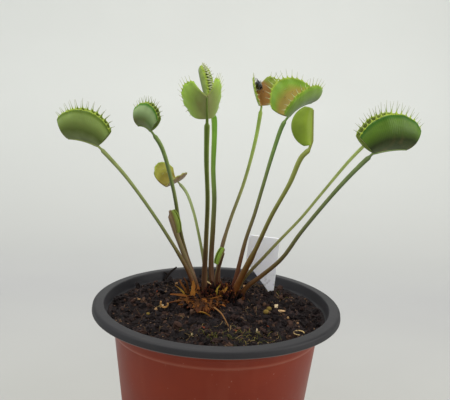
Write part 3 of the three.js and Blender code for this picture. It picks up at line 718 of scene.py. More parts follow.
def pot_profile():
    """Radius and height round the section, outside first, from the axis back to the axis."""
    floor_top = FLOOR_UNDERSIDE + FLOOR
    step = POT_HEIGHT - COLLAR_HEIGHT
    lip_bottom = POT_HEIGHT - LIP_HEIGHT
    lip_inside = RIM_RADIUS + LIP_FLARE - LIP_WALL
    flare_outside = MOUTH_RADIUS + WALL + 0.5
    return [
        (0, 0), (PAD_RADIUS, 0), (PAD_RADIUS + 1, FLOOR_UNDERSIDE),
        (FOOT_RADIUS - FOOT_WIDTH - 1, FLOOR_UNDERSIDE), (FOOT_RADIUS - FOOT_WIDTH, 0),
        (FOOT_RADIUS - 0.5, 0), (wall_radius(0.8), 0.8), (wall_radius(step), step),
        (wall_radius(step) + COLLAR_STEP, step + 0.5),
        (wall_radius(FLARE_HEIGHT) + COLLAR_STEP, FLARE_HEIGHT - 0.2),
        (flare_outside, MOUTH_HEIGHT + 0.1), (flare_outside + 0.3, POT_HEIGHT - RIM_THICKNESS),
        (lip_inside - 0.4, POT_HEIGHT - RIM_THICKNESS - 0.1), (lip_inside, lip_bottom),
        (lip_inside + 0.5, lip_bottom - 0.2), (RIM_RADIUS + LIP_FLARE, lip_bottom + 0.3),
        (RIM_RADIUS + 0.5, POT_HEIGHT - 0.5), (RIM_RADIUS - 0.3, POT_HEIGHT),
        (RIM_INNER_RADIUS, POT_HEIGHT + RIM_RISE), (RIM_INNER_RADIUS - 0.3, POT_HEIGHT),
        (MOUTH_RADIUS, MOUTH_HEIGHT), (inside_radius(FLARE_HEIGHT), FLARE_HEIGHT),
        (inside_radius(floor_top + CORNER), floor_top + CORNER),
        (inside_radius(floor_top) - CORNER, floor_top), (0, floor_top),
    ]


def rounded(points, radius):
    """The open outline with each inner corner turned into a short curve."""
    points = np.asarray(points, float)
    result = [points[0]]
    for before, corner, after in zip(points, points[1:], points[2:]):
        reach_in = min(radius, 0.45 * np.linalg.norm(corner - before))
        reach_out = min(radius, 0.45 * np.linalg.norm(after - corner))
        start = corner + unit(before - corner) * reach_in
        end = corner + unit(after - corner) * reach_out
        for t in np.arange(CORNER_STEPS + 1) / CORNER_STEPS:
            result.append((1 - t) ** 2 * start + 2 * t * (1 - t) * corner + t**2 * end)
    result.append(points[-1])
    return np.array(result)


def build_pot(outer_material, dark_material):
    profile = rounded(pot_profile(), 0.5)
    lip = POT_HEIGHT - LIP_HEIGHT - 0.15
    angles = angles_of(POT_COLUMNS)
    inner_rows = profile[1:-1]
    radii, heights = inner_rows.T
    points = np.stack([np.outer(radii, np.cos(angles)), np.outer(radii, np.sin(angles)),
                       np.outer(heights, np.ones(POT_COLUMNS))], axis=-1)
    shape = Shape()
    rows = len(inner_rows)
    faces = grid_faces(rows, POT_COLUMNS, closed=True)
    under, above = rows * POT_COLUMNS, rows * POT_COLUMNS + 1
    last = (rows - 1) * POT_COLUMNS
    for k in range(POT_COLUMNS):
        following = (k + 1) % POT_COLUMNS
        faces.append((under, following, k))
        faces.append((above, last + k, last + following))
    poles = [(0, 0, profile[0, 1]), (0, 0, profile[-1, 1])]
    shape.add(np.vstack([points.reshape(-1, 3), poles]), faces)

    def face_material(polygon):
        centre = polygon.center / MM
        radius = math.hypot(centre.x, centre.y)
        wall = max(wall_radius(centre.z), flare_radius(centre.z) + WALL)
        is_outside = radius > wall - 0.55 * WALL or centre.z < FLOOR_UNDERSIDE + 0.5
        return 0 if is_outside and centre.z < lip else 1

    pot = add_mesh("pot_shell", shape, [outer_material, dark_material], ["pot"],
                   face_material=face_material)
    drill(pot)


def drill(pot):
    """Cuts the drain holes through the floor."""
    cutter_mesh = bmesh.new()
    for i in range(DRAIN_HOLES):
        angle = 2 * math.pi * (i + 0.5) / DRAIN_HOLES
        centre = Vector((DRAIN_CIRCLE * math.cos(angle), DRAIN_CIRCLE * math.sin(angle), 2)) * MM
        bmesh.ops.create_cone(
            cutter_mesh, cap_ends=True, segments=32, radius1=DRAIN_RADIUS * MM,
            radius2=DRAIN_RADIUS * MM, depth=8 * MM, matrix=Matrix.Translation(centre),
        )
    data = bpy.data.meshes.new("drain_cutter")
    cutter_mesh.to_mesh(data)
    cutter_mesh.free()
    cutter = add_object("drain_cutter", data)
    modifier = pot.modifiers.new("drain", "BOOLEAN")
    modifier.operation = "DIFFERENCE"
    modifier.object = cutter
    apply_modifiers(pot)
    bpy.data.objects.remove(cutter)


def apply_modifiers(piece):
    bpy.context.view_layer.update()
    graph = bpy.context.evaluated_depsgraph_get()
    finished = bpy.data.meshes.new_from_object(piece.evaluated_get(graph))
    piece.modifiers.clear()
    piece.data = finished


# The peat
def soil_height(x, y):
    """The frame's own height of the peat: low along the wall and heaped round the plant."""
    away = np.hypot(x - CROWN[0], y - CROWN[1])
    heap = (SOIL_CROWN - SOIL_EDGE) * np.exp(-((away / CROWN_SPREAD) ** 2) / 2)
    lumps = (
        0.5 * np.sin(0.41 * x + 1.3) * np.cos(0.47 * y - 0.7)
        + 0.35 * np.sin(0.83 * x - 0.38 * y + 2.1)
        + 0.3 * np.cos(0.29 * x + 0.91 * y)
    )
    fade = np.clip((flare_radius(SOIL_EDGE) - np.hypot(x, y)) / 8, 0, 1)
    return SOIL_EDGE + heap + lumps * fade


def relief(x, y):
    """Clods and crumbs on the peat, at one place."""
    place = Vector((x, y, 0))
    height = SWELL[1] * noise.fractal(place * SWELL[0], 0.9, 2.0, 4)
    for waves, tall in (CLODS, CRUMBLE):
        height += tall * (CELL_MIDDLE - noise.voronoi(place * waves)[0][0])
    height += GRIT[1] * noise.fractal(place * GRIT[0], 0.8, 2.0, 3)
    fade = min(1, 0.35 + (PEAT_EDGE - math.hypot(x, y)) / 9)
    return height * fade


def ground(x, y):
    return float(soil_height(x, y)) + relief(x, y)


def over_peat(x, y, rise):
    """The point at rise over the peat's relief."""
    return np.array([x, y, ground(x, y) + rise])


def build_peat(material):
    angles = angles_of(PEAT_COLUMNS)
    radii = PEAT_EDGE * (1 - np.arange(PEAT_ROWS) / PEAT_ROWS) ** 0.85
    bottom = FLOOR_UNDERSIDE + FLOOR + GAP
    rows = [
        (inside_radius(bottom) - CORNER - GAP, bottom),
        (inside_radius(bottom + CORNER) - GAP, bottom + CORNER),
        (inside_radius(FLARE_HEIGHT) - GAP, FLARE_HEIGHT),
    ]
    points = [[(r * math.cos(a), r * math.sin(a), z) for a in angles] for r, z in rows]
    heights = [[0.0] * PEAT_COLUMNS for _ in rows]
    for radius in radii:
        ring = [(radius * math.cos(a), radius * math.sin(a)) for a in angles]
        bumps = [relief(x, y) for x, y in ring]
        points.append([(x, y, float(soil_height(x, y)) + b) for (x, y), b in zip(ring, bumps)])
        heights.append(bumps)
    count = len(points)
    faces = grid_faces(count, PEAT_COLUMNS, closed=True)
    faces.append(tuple(reversed(range(PEAT_COLUMNS))))
    top = count * PEAT_COLUMNS
    last = (count - 1) * PEAT_COLUMNS
    faces.extend((top, last + k, last + (k + 1) % PEAT_COLUMNS) for k in range(PEAT_COLUMNS))
    points = np.array(points).reshape(-1, 3)
    centre = (0, 0, ground(0, 0))
    shape = Shape()
    shape.add(np.vstack([points, centre]), faces, relief=np.append(np.ravel(heights), relief(0, 0)))
    add_mesh("peat_bed", shape, [material], ["soil"])


def pebble(level):
    """Points and faces of a ball of radius 1."""
    lump = bmesh.new()
    bmesh.ops.create_icosphere(lump, subdivisions=level, radius=1)
    points = np.array([v.co for v in lump.verts])
    faces = [[v.index for v in face.verts] for face in lump.faces]
    lump.free()
    return points, faces


def turn_matrix(rng):
    """A random rotation."""
    axis = unit([rng.gauss(0, 1) for _ in range(3)])
    return np.array(Matrix.Rotation(rng.uniform(0, 2 * math.pi), 3, Vector(axis)))


def add_lump(shape, rng, base, centre, size, shade, flat=1.0):
    """A crumb: the base ball with its points moved, then stretched and turned."""
    points, faces = base
    bumps = np.array([rng.uniform(0.55, 1.3) for _ in points])[:, None]
    scale = np.array([rng.uniform(0.6, 1.5), rng.uniform(0.6, 1.2), flat * rng.uniform(0.45, 1.0)])
    turned = (points * bumps * scale) @ turn_matrix(rng).T
    shape.add(turned * size + centre, faces, shade=shade)


def on_peat(rng, radius_share):
    """A random place on the peat, even over its area."""
    radius = PEAT_EDGE * radius_share * math.sqrt(rng.random())
    angle = rng.uniform(0, 2 * math.pi)
    return radius * math.cos(angle), radius * math.sin(angle)


def build_crumbs():
    """Loose crumbs of peat and bark all over the bed."""
    rng = random.Random(11)
    small, large = pebble(1), pebble(2)
    shape = Shape()
    for i in range(CRUMBS):
        x, y = on_peat(rng, 0.97)
        big = i % BIG_EVERY == 0
        size = rng.uniform(*(BIG_CRUMB if big else SMALL_CRUMB))
        if math.hypot(x, y) > PEAT_EDGE - size:
            continue
        centre = over_peat(x, y, 0.25 * size)
        shade = 0.7 * rng.random() ** 3.5 if big else 0.9 * rng.random() ** 2.2
        add_lump(shape, rng, large if big else small, centre, size, shade)
    add_loose("peat_crumbs", shape, (0.0, "130e0f"), (0.35, "271b19"), (0.6, "402c24"),
              (0.8, "5c4434"), (1.0, "866a52"), smooth=False)


def add_thread(shape, points, radius, sides=5, taper=0.4, steps=10, **values):
    """A thin round thread through points."""
    path = Path(points)
    distance = np.linspace(0, path.length, steps)
    along = path.along(distance)
    sideways = unit(np.cross(along[0], UP) + np.array([1e-3, 0, 0]))
    across, up = axes_of(along, sideways)
    half = radius * (1 - (1 - taper) * np.linspace(0, 1, steps))
    tube(shape, path.at(distance), across, up, half, half, sides, **values)


def build_fibres():
    """Short fibres and rootlets that lie on the peat."""
    rng = random.Random(23)
    shape = Shape()
    for _ in range(FIBRES):
        x, y = on_peat(rng, 0.93)
        heading = rng.uniform(0, 2 * math.pi)
        length = rng.uniform(1.5, 5.5)
        bend = rng.uniform(-1.2, 1.2)
        points = []
        for share in (0, 0.33, 0.66, 1):
            angle = heading + bend * share
            px, py = x + length * share * math.cos(angle), y + length * share * math.sin(angle)
            if math.hypot(px, py) > PEAT_EDGE - 1:
                break
            points.append((px, py, ground(px, py) + 0.2 + rng.uniform(0, 0.7)))
        if len(points) > 2:
            add_thread(shape, points, rng.uniform(0.06, 0.14), steps=7, shade=rng.random())
    add_loose("peat_fibres", shape, (0.0, "1c1310"), (0.5, "3c2a20"), (0.85, "6e5438"),
              (1.0, "9c8458"))


# Bits that lie on the peat: x, y and size, and for the chips how raised and how pale each is
CHIPS = [
    (24.8, 5.4, 1.5, 0.6, 0.95), (26.8, 1.2, 2.0, 0.7, 0.85), (29.2, -4.4, 1.0, 0.4, 0.8),
    (-24.8, -0.7, 1.3, 0.3, 0.8), (-22.4, 0.8, 1.0, 0.3, 0.95), (-9, -23.9, 0.8, 0.4, 0.9),
    (16.2, -19.8, 0.9, 0.5, 1.0), (9.8, 10.5, 0.8, 0.5, 0.95), (-15.1, 17.2, 1.0, 0.5, 0.6),
    (32.6, -12, 0.8, 0.3, 0.6), (-30, -8, 0.7, 0.3, 0.9), (-20, -30, 0.7, 0.3, 0.7),
    (20, -33, 0.8, 0.3, 0.85), (12, 30, 1.1, 0.4, 0.7), (-18, 28, 1.2, 0.4, 0.6),
    (33, 14, 0.9, 0.4, 0.8), (2, -36, 0.7, 0.3, 0.9), (-33, 12, 0.9, 0.4, 0.7),
]
RED_CHIPS = [(-4.9, -21.8, 1.3), (-3.2, -21.4, 0.9), (-26, 20, 0.9), (21, -14, 0.9), (8, -20, 0.7)]
BALL_SQUASH = np.array([1, 1, 0.85])
OLIVE_BALLS = [(20.4, -1.1, 1.2), (21.8, 3.8, 1.1), (-27.5, -6.5, 0.8)]

# The middle of the curled scrap
SCRAP_PLACE = (-21.1, -1.5, 88.2)

# Patches of moss: x, y, how far they spread and how many threads each has
MOSS_PATCHES = [(-1.5, -26, 4.5, 34), (14.6, -26, 4.5, 34), (26, 24, 3, 8)]


def build_chips():
    """Pale chips of bark, reddish bits and two small olive balls."""
    rng = random.Random(5)
    lump = pebble(2)
    shape = Shape()
    for x, y, size, raised, shade in CHIPS:
        add_lump(shape, rng, lump, over_peat(x, y, raised * size), 0.75 * size, shade, flat=0.6)
    add_loose("bark_chips", shape, (0.5, "6a4a34"), (0.75, "9a7650"), (0.9, "c09a6c"),
              (1.1, "d9c39c"), smooth=False)
    reds = Shape()
    for x, y, size in RED_CHIPS:
        add_lump(reds, rng, lump, over_peat(x, y, 0.5 * size), 0.8 * size, 0.5, flat=0.7)
    add_loose("red_chips", reds, (0.3, "5a2416"), (0.7, "8e4426"), smooth=False)
    balls = Shape()
    points, faces = pebble(3)
    for x, y, size in OLIVE_BALLS:
        balls.add(points * size * BALL_SQUASH + over_peat(x, y, 0.7 * size), faces, shade=0.5)
    add_loose("olive_balls", balls, (0.3, "5f4c22"), (0.8, "8a7438"))


def build_twig():
    """A dark twig that forks low down."""
    twig = Shape()
    add_thread(twig, [(-24, 37.6, 85), (-22.4, 38.3, 87.4), (-20.6, 39, 89.4), (-18.6, 39.4, 91)],
               0.8, sides=8, taper=0.5, shade=0.1)
    add_thread(twig, [(-22.2, 38.3, 87.2), (-23.4, 38.2, 88.4), (-24.4, 38, 88.8)], 0.5,
               sides=8, shade=0.1)
    add_loose("dark_twig", twig, (0.0, "0e0b0b"), (0.5, "2a201b"))


def build_dry_stalks():
    """Dry stalks across the peat, one of them a ring."""
    dry = Shape()
    add_thread(dry, [(8.2, 31, 86), (9, 31.6, 89), (10.6, 32.4, 92.2)], 0.45, shade=0.6)
    add_thread(dry, [(-4.5, 14.2, 93.2), (-2.4, 13.6, 92.2), (-0.1, 12.6, 91)], 0.4, shade=1.0)
    add_thread(dry, [(-0.9, -5, 88.8), (2.2, -11, 88.4), over_peat(5.2, -17, 0.4)], 0.4, shade=0.3)
    add_thread(dry, [(2.5, 6, 88.4), (6, 10, 89.2), (9, 15.5, 89), over_peat(11.1, 20, 0.3)],
               0.42, shade=0.9)
    ring = [(32.7 + 2.1 * math.cos(a), -20.3 + 2.4 * math.sin(a), ground(32.7, -20.3) + 0.9)
            for a in np.arange(0, 5.6, 0.8)]
    add_thread(dry, ring, 0.3, taper=0.7, steps=22, shade=0.8)
    add_loose("dry_stalks", dry, (0.2, "7a4a26"), (0.6, "9c7a4a"), (1.0, "c9b07c"), slot="dead_leaf")


def build_scrap():
    """A scrap of dead leaf, rolled into a spiral."""
    curl = Shape()
    spiral = []
    for turn in np.arange(0, 4.2, 0.5):
        radius = 1.9 - 0.2 * turn
        x, y, z = SCRAP_PLACE
        spiral.append((x + radius * math.cos(turn + 2.6), y, z + radius * math.sin(turn + 2.6)))
    path = Path(spiral)
    distance = np.linspace(0, path.length, CURL_STATIONS)
    across, up = axes_of(path.along(distance), np.array([0, 1.0, 0]))
    half_width = np.full(CURL_STATIONS, 0.8)
    half_depth = np.full(CURL_STATIONS, 0.35)
    tube(curl, path.at(distance), across, up, half_width, half_depth, 10, shade=0.7)
    add_loose("curled_scrap", curl, (0.3, "6a4422"), (0.9, "a87e48"), slot="dead_leaf")


def build_moss():
    """Threads of moss in a few patches."""
    rng = random.Random(31)
    moss = Shape()
    for centre_x, centre_y, spread, count in MOSS_PATCHES:
        for _ in range(count):
            x, y = centre_x + rng.gauss(0, spread), centre_y + rng.gauss(0, spread * 0.8)
            if math.hypot(x, y) > PEAT_EDGE - 3:
                continue
            heading, length = rng.uniform(0, 2 * math.pi), rng.uniform(2, 5)
            height = rng.uniform(0.6, 2)
            points = [
                (x + length * share * math.cos(heading), y + length * share * math.sin(heading),
                 ground(x, y) + 0.1 + height * math.sin(math.pi * share))
                for share in (0, 0.35, 0.7, 1)
            ]
            add_thread(moss, points, rng.uniform(0.07, 0.13), steps=8, shade=rng.random())
    add_loose("moss_threads", moss, (0.0, "2e3a16"), (0.5, "5b5a28"), (1.0, "8a7c3c"))


# Leaves
def trap_axes(trap):
    """A trap's directions: along the midrib, towards its opening, and sideways."""
    a, b, c = (math.radians(trap[key]) for key in ("heading", "rise", "roll"))
    along = np.array([math.cos(b) * math.cos(a), math.cos(b) * math.sin(a), math.sin(b)])
    opening = Vector((-math.sin(b) * math.cos(a), -math.sin(b) * math.sin(a), math.cos(b)))
    opening = np.array(Matrix.Rotation(c, 3, Vector(along)) @ opening)
    return along, opening, np.cross(along, opening)


def midrib_point(leaf, share):
    """A point of the midrib, which may arch, for an array of shares of its length."""
    trap = leaf["trap"]
    along, opening, _ = trap_axes(trap)
    share = np.asarray(share, float)[..., None]
    rise = trap["arch"] * trap["midrib"] * (1 - (2 * share - 1) ** 2)
    return np.array(leaf["stalk"][-1]) + along * trap["midrib"] * share + opening * rise


def lobe_point(leaf, turn, out, which):
    """A point of a lobe's middle surface and its outward direction, for arrays of turn and out."""
    trap = leaf["trap"]
    along, opening, side = trap_axes(trap)
    turn, out = np.broadcast_arrays(np.asarray(turn, float), np.asarray(out, float))
    share = turn / (math.pi / 2)
    sweep, last = turn * MARGIN_SWEEP, math.pi / 2 * MARGIN_SWEEP
    crest = (np.cos(sweep) - math.cos(last)) / (1 - math.cos(last))
    tall = trap["height"] * (trap["corner"] + (1 - trap["corner"]) * crest)
    at_midrib = trap["midrib"] / 2 * share
    at_margin = trap["span"] / 2 * np.sin(sweep) / math.sin(last) + trap["shift"]
    x = at_midrib + (at_margin - at_midrib) * (1 - (1 - out) ** 1.2)
    bend = math.radians(trap["bend"])
    start = math.radians(trap["gape"][0 if which > 0 else 1]) + bend / 2
    angle = start - bend * out
    rise = tall * (math.sin(start) - np.sin(angle)) / bend
    away = tall * (np.cos(angle) - math.cos(start)) / bend + MIDRIB_HALF * np.minimum(1, 3 * out)
    arch = trap["arch"] * trap["midrib"] * (1 - share**2)
    point = (
        np.array(leaf["stalk"][-1])
        + along * (trap["midrib"] / 2 + x)[..., None]
        + opening * (rise + arch)[..., None]
        + side * (which * away)[..., None]
    )
    outward = -opening * np.sin(angle)[..., None] + side * (which * np.cos(angle))[..., None]
    return point, outward


def cilium_direction(leaf, turn, which, lean_more):
    """Where a cilium points: fanned out along the margin, and leaned away from the other lobe."""
    trap = leaf["trap"]
    along, opening, side = trap_axes(trap)
    gape = trap["gape"][0 if which > 0 else 1]
    lean = math.radians(trap["lean"] + (gape / 2 if gape > 10 else 0) + lean_more)
    fan = 0.7 * turn
    return (
        along * math.sin(fan)
        + opening * math.cos(fan) * math.cos(lean)
        + side * which * math.cos(fan) * math.sin(lean)
    )


def add_lobes(shape, leaf, rng):
    """Both lobes as thin closed sheets that meet along the midrib."""
    out, turn = np.meshgrid(
        np.linspace(0, 1, LOBE_ROWS + 1), np.linspace(-1, 1, LOBE_COLUMNS + 1) * math.pi / 2,
        indexing="ij",
    )
    rows, columns = out.shape
    half = 0.5 * (LOBE_THICKNESS + (MARGIN_THICKNESS - LOBE_THICKNESS) * out**3)
    half = half + BEAD * np.exp(-(((out - BEAD_PLACE) / BEAD_WIDTH) ** 2))
    phase = rng.uniform(0, 6)
    ripple = RIPPLE if leaf["trap"]["cilia"] else 0.0
    for which in (-1, 1):
        point, outward = lobe_point(leaf, turn, out, which)
        wave = ripple * np.sin(9 * turn + phase) * out**4
        point = point + outward * wave[..., None]
        outer = point + outward * half[..., None]
        inner = point - outward * half[..., None]
        sheet = grid_faces(rows, columns)
        count = rows * columns
        faces = [face if which < 0 else face[::-1] for face in sheet]
        faces += [tuple(i + count for i in (face[::-1] if which < 0 else face)) for face in sheet]
        border = list(range(columns))
        border += [r * columns + columns - 1 for r in range(1, rows)]
        border += [(rows - 1) * columns + k for k in range(columns - 2, -1, -1)]
        border += [r * columns for r in range(rows - 2, 0, -1)]
        for a, b in zip(border, border[1:] + border[:1]):
            face = (a, a + count, b + count, b)
            faces.append(face if which < 0 else face[::-1])
        shape.add(
            np.vstack([outer.reshape(-1, 3), inner.reshape(-1, 3)]), faces,
            out=np.tile(out.ravel(), 2), turn=np.tile(turn.ravel(), 2),
            inner=np.repeat([0.0, 1.0], count), zone=LOBE_ZONE,
        )
        phase += 2.1


def add_cilia(shape, leaf, rng):
    """Cilia with broad roots and hair-thin ends along both margins."""
    trap = leaf["trap"]
    columns = 2 * trap["cilia"] + 1
    crossing = leaf["crossing"]
    for which in (-1, 1):
        for i in range(trap["cilia"]):
            turn = math.pi * ((2 * i + 1.5 + (0.5 * which if crossing else 0)) / columns - 0.5)
            foot, _ = lobe_point(leaf, turn, 1.0, which)
            inside, _ = lobe_point(leaf, turn, BEAD_PLACE, which)
            beside, _ = lobe_point(leaf, turn + NUDGE, 1.0, which)
            margin, leaving = unit(beside - foot), unit(foot - inside)
            spacing = np.linalg.norm(beside - foot) / NUDGE * math.pi / columns * 2
            aim = cilium_direction(leaf, turn + rng.uniform(-0.08, 0.08), which,
                                   rng.uniform(-6, 6) - crossing)
            share = END_CILIUM + (1 - END_CILIUM) * math.cos(turn)
            length = trap["cilium"] * share * rng.uniform(0.9, 1.12)
            blend = np.clip(CILIUM_STEPS[:, None] * 2.5, 0, 1)
            heading = unit(leaving * (1 - blend) + aim * blend)
            hop = np.diff(CILIUM_STEPS, prepend=0)[:, None] * length
            places = foot - leaving * ROOT_DEPTH + np.cumsum(heading * hop, axis=0)
            root = ROOT_SHARE * min(spacing, WIDEST_SPACING)
            shaft = (TIP_HALF + SHAFT_GAIN * (1 - CILIUM_STEPS)) * (CROSSING_STOUTER if crossing else 1)
            wide = shaft + (root - shaft) * (1 - CILIUM_STEPS) ** 7
            thick = shaft + 0.12 * (1 - CILIUM_STEPS) ** 4
            across, up = axes_of(unit(np.gradient(places, axis=0)), margin)
            tube(shape, places, across, up, wide, thick, CILIUM_SIDES,
                 tip=CILIUM_STEPS, zone=TOOTH_ZONE)


def add_trigger_hairs(shape, leaf):
    """Three short hairs on each inner face of a trap that stands open."""
    for which in (-1, 1):
        if leaf["trap"]["gape"][0 if which > 0 else 1] < 10:
            continue
        for turn, out in ((-0.35, 0.5), (0.35, 0.5), (0.0, 0.68)):
            foot, outward = lobe_point(leaf, turn, out, which)
            steps = np.linspace(0, 1, 4)
            places = foot - outward * (0.2 + 1.9 * steps[:, None])
            across, up = axes_of(unit(-outward), trap_axes(leaf["trap"])[0])
            half = 0.11 * (1 - 0.75 * steps)
            tube(shape, places, across, up, half, half, HAIR_SIDES, tip=0.6, zone=TOOTH_ZONE)


def stalk_section(angles):
    """A section with a shallow groove on its upper side and thin edges."""
    flat = np.cos(angles)
    tall = np.sin(angles)
    groove = np.where(tall > 0, 1 - 0.5 * np.exp(-((flat / 0.45) ** 2)), 1.0)
    return flat, tall * groove


def add_stalk(shape, leaf):
    """The stalk with its shoulder and neck, and the midrib that continues it."""
    path = Path(leaf["stalk"])
    sideways = level_side(leaf["stalk"][0], leaf["stalk"][-1])
    shoulder = path.length - leaf["neck"]
    lower = leaf["lower"]
    # from the broad foot over the stalk to the shoulder, and down to the thin neck
    section_places = [share * shoulder for share in (0, 0.12, 0.29, 0.36, 0.52, 0.7, 0.86)]
    section_places += [shoulder - 0.6, shoulder + 0.8, path.length - 0.5]
    section_sizes = [1.3 * lower, 1.1 * lower, lower, 1, 0.95, 0.95, 1.05, 1.15, 0.62, 0.6]
    body = np.linspace(0, shoulder - 2, STALK_STATIONS)
    distance = np.concatenate([body, np.linspace(shoulder - 1.8, path.length - 0.5, NECK_STATIONS)])
    size = eased(distance, section_places, section_sizes)
    places, along = path.at(distance), path.along(distance)
    tip_along, opening, _ = trap_axes(leaf["trap"])
    share = np.linspace(0.08, 0.97, RIB_STATIONS)
    midrib = midrib_point(leaf, share) - opening * 0.3
    rib_size = np.linspace(1.1, 0.7, RIB_STATIONS)
    places = np.vstack([places, midrib])
    along = np.vstack([along, np.tile(tip_along, (RIB_STATIONS, 1))])
    wide = np.concatenate([leaf["wide"] * size, rib_size]) / 2
    thick = np.concatenate([leaf["thick"] * size, rib_size]) / 2
    stem = np.concatenate([distance / path.length, np.full(RIB_STATIONS, 1.0)])
    across, up = axes_of(along, sideways)
    angles = angles_of(STALK_SIDES)
    # Where the edges get painted light and the underside gets painted shade
    edge = np.abs(np.cos(angles)) ** 3
    keel = np.clip(-np.sin(angles), 0, 1) ** 2
    tube(shape, places, across, up, wide, thick, STALK_SIDES, section=stalk_section,
         stem=stem, edge=edge, keel=keel, zone=STALK_ZONE)


def build_leaf(number, leaf):
    rng = random.Random(100 + number)
    shape = Shape()
    add_stalk(shape, leaf)
    add_lobes(shape, leaf, rng)
    if leaf["trap"]["cilia"]:
        add_cilia(shape, leaf, rng)
        add_trigger_hairs(shape, leaf)
    name = f"leaf_{number:02d}"
    add_mesh(name + "_grown", shape, [leaf_material(name + "_green", leaf)], [name])


# Withered leaves
BLADE_STATIONS = 18
BLADE_SIDES = 12
BLADE_HALF = 0.2


def add_dead_blade(shape, rng, start, end, arch, width, shade):
    """A flat, curled blade from start to end that arches up between them and ends ragged."""
    start, end = np.asarray(start, float), np.asarray(end, float)
    sideways = level_side(start, end)
    path = Path([
        start,
        start + (end - start) * 0.3 + UP * arch,
        start + (end - start) * 0.65 + UP * arch * 0.8 + sideways * rng.uniform(-0.6, 0.6),
        end,
    ])
    steps = np.linspace(0, 1, BLADE_STATIONS)
    distance = steps * path.length
    across, up = axes_of(path.along(distance), sideways)
    twist = rng.uniform(-0.9, 0.9) * steps[:, None]
    turned = across * np.cos(twist) + up * np.sin(twist)
    up = up * np.cos(twist) - across * np.sin(twist)
    taper = 1 - 0.75 * steps**2
    ragged = 1 + 0.18 * np.sin(steps * rng.uniform(14, 24) + rng.uniform(0, 6))
    half = 0.5 * width * taper * ragged
    gutter = rng.uniform(0.2, 0.5)

    def section(angles):
        flat = np.cos(angles)
        return flat, np.sin(angles) + gutter * (flat**2 - 0.5) * 3

    depth = np.full(BLADE_STATIONS, BLADE_HALF)
    tube(shape, path.at(distance), turned, up, half, depth, BLADE_SIDES, section=section,
         along=steps, shade=shade)


# The blades that stand out: where each starts and ends, how much it arches, its width and shade
LONG_BLADES = [
    ((-10, 4, 88), (-19.5, 5.9, 89.8), 1.2, 2.6, 0.5), ((-10, 2, 88), (-19.4, -0.4, 88.4), 0.9, 2.4, 0.4),
    ((-12.5, 7, 88), (-17.8, 11.4, 92), 0.8, 1.9, 0.7), ((-12.5, 9, 89), (-16, 12.5, 94), 0.4, 1.5, 0.5),
    ((-11.5, 9.5, 89), (-14.3, 13, 95), 0.3, 1.4, 0.4), ((-9.8, 3.7, 89), (-10.8, 9, 96), 0.6, 2.0, 0.6),
    ((-8.5, 6, 89), (-8.4, 10.5, 93), 0.5, 1.8, 0.5), ((-1, 5, 89), (1.4, 9.2, 94), 0.5, 1.9, 0.8),
    ((-0.5, 7, 89), (2.2, 10.2, 94), 0.5, 1.6, 0.66), ((0, 4.5, 89), (4.4, 8.3, 93.5), 0.6, 1.9, 0.66),
    ((0.5, 4.5, 89), (6.2, 7.6, 92), 0.5, 1.5, 0.5), ((-3, 4, 89), (4.9, 5.6, 90.2), 0.8, 2.6, 0.4),
    ((-3, 2, 88.5), (4.6, 2.4, 89), 0.8, 2.6, 0.3), ((-5.4, 3, 89.6), (-4.9, -2, 89), 0.4, 1.8, 0.6),
    ((-7, -9.4, 88.2), (-2.4, -12.6, 87.9), 0.5, 2, 0.66),
]

# The feet of the short blades and of the old stubs fill two ovals
TUFT_FOOT = np.array([-6.2, 3.6, 87.4])
TUFT_SPREAD = np.array([7.4, 6.2, 0])
SHORT_BLADES = 150
SKIRT_BLADES = 48
OLD_BASES = 230
MOUND_FOOT = np.array([0.5, 9.8, 87.4])
MOUND_SPREAD = np.array([11, 7, 0])
MOUND_HEIGHT = 6.5
GOLDEN_TURN = 0.382

# The skirt's blades start along the tuft's front and close in on the hem, further out in its middle
SKIRT_MIDDLE, SKIRT_HALF = -6.2, 8
HEM_MIDDLE, HEM_HALF = -5.2, 4.5
HEM_FRONT, HEM_CURVE = -9, 5.5


def spot_in_disc(number, rng):
    """One of many places that fill a disc: its direction from the middle and its share of the way."""
    angle = 2 * math.pi * (number * GOLDEN_TURN % 1)
    return np.array([math.cos(angle), math.sin(angle), 0]), math.sqrt(rng.random())


def add_skirt(shape, rng):
    """Rotted blades over one another that close in on the tuft's lowest point, in front."""
    for _ in range(SKIRT_BLADES):
        across = rng.uniform(-1, 1)
        x = SKIRT_MIDDLE + SKIRT_HALF * across + rng.uniform(-1, 1)
        start = (x, rng.uniform(1, 5), rng.uniform(88, 90))
        reach = HEM_FRONT + HEM_CURVE * across**2 + rng.uniform(-0.5, 3)
        x = HEM_MIDDLE + HEM_HALF * across + rng.uniform(-1.5, 1.5)
        end = (x, reach, rng.uniform(87.4, 88.2))
        add_dead_blade(shape, rng, start, end, rng.uniform(0.1, 0.5), rng.uniform(1.2, 3),
                       rng.uniform(0.26, 0.44))


def add_old_bases(shape, rng):
    """The dark stubs of old leaves, heaped round the living stalks."""
    for number in range(OLD_BASES):
        outwards, reach = spot_in_disc(number, rng)
        height = MOUND_HEIGHT * (1 - reach**2) * rng.uniform(0.7, 1.1) + 0.8
        foot = MOUND_FOOT + MOUND_SPREAD * outwards * reach
        start = foot + UP * max(0, height - 4.5)
        end = foot + outwards * rng.uniform(0.4, 2) + UP * height
        add_dead_blade(shape, rng, start, end, 0.2, rng.uniform(1, 2.2), rng.random() ** 4 * 0.5)


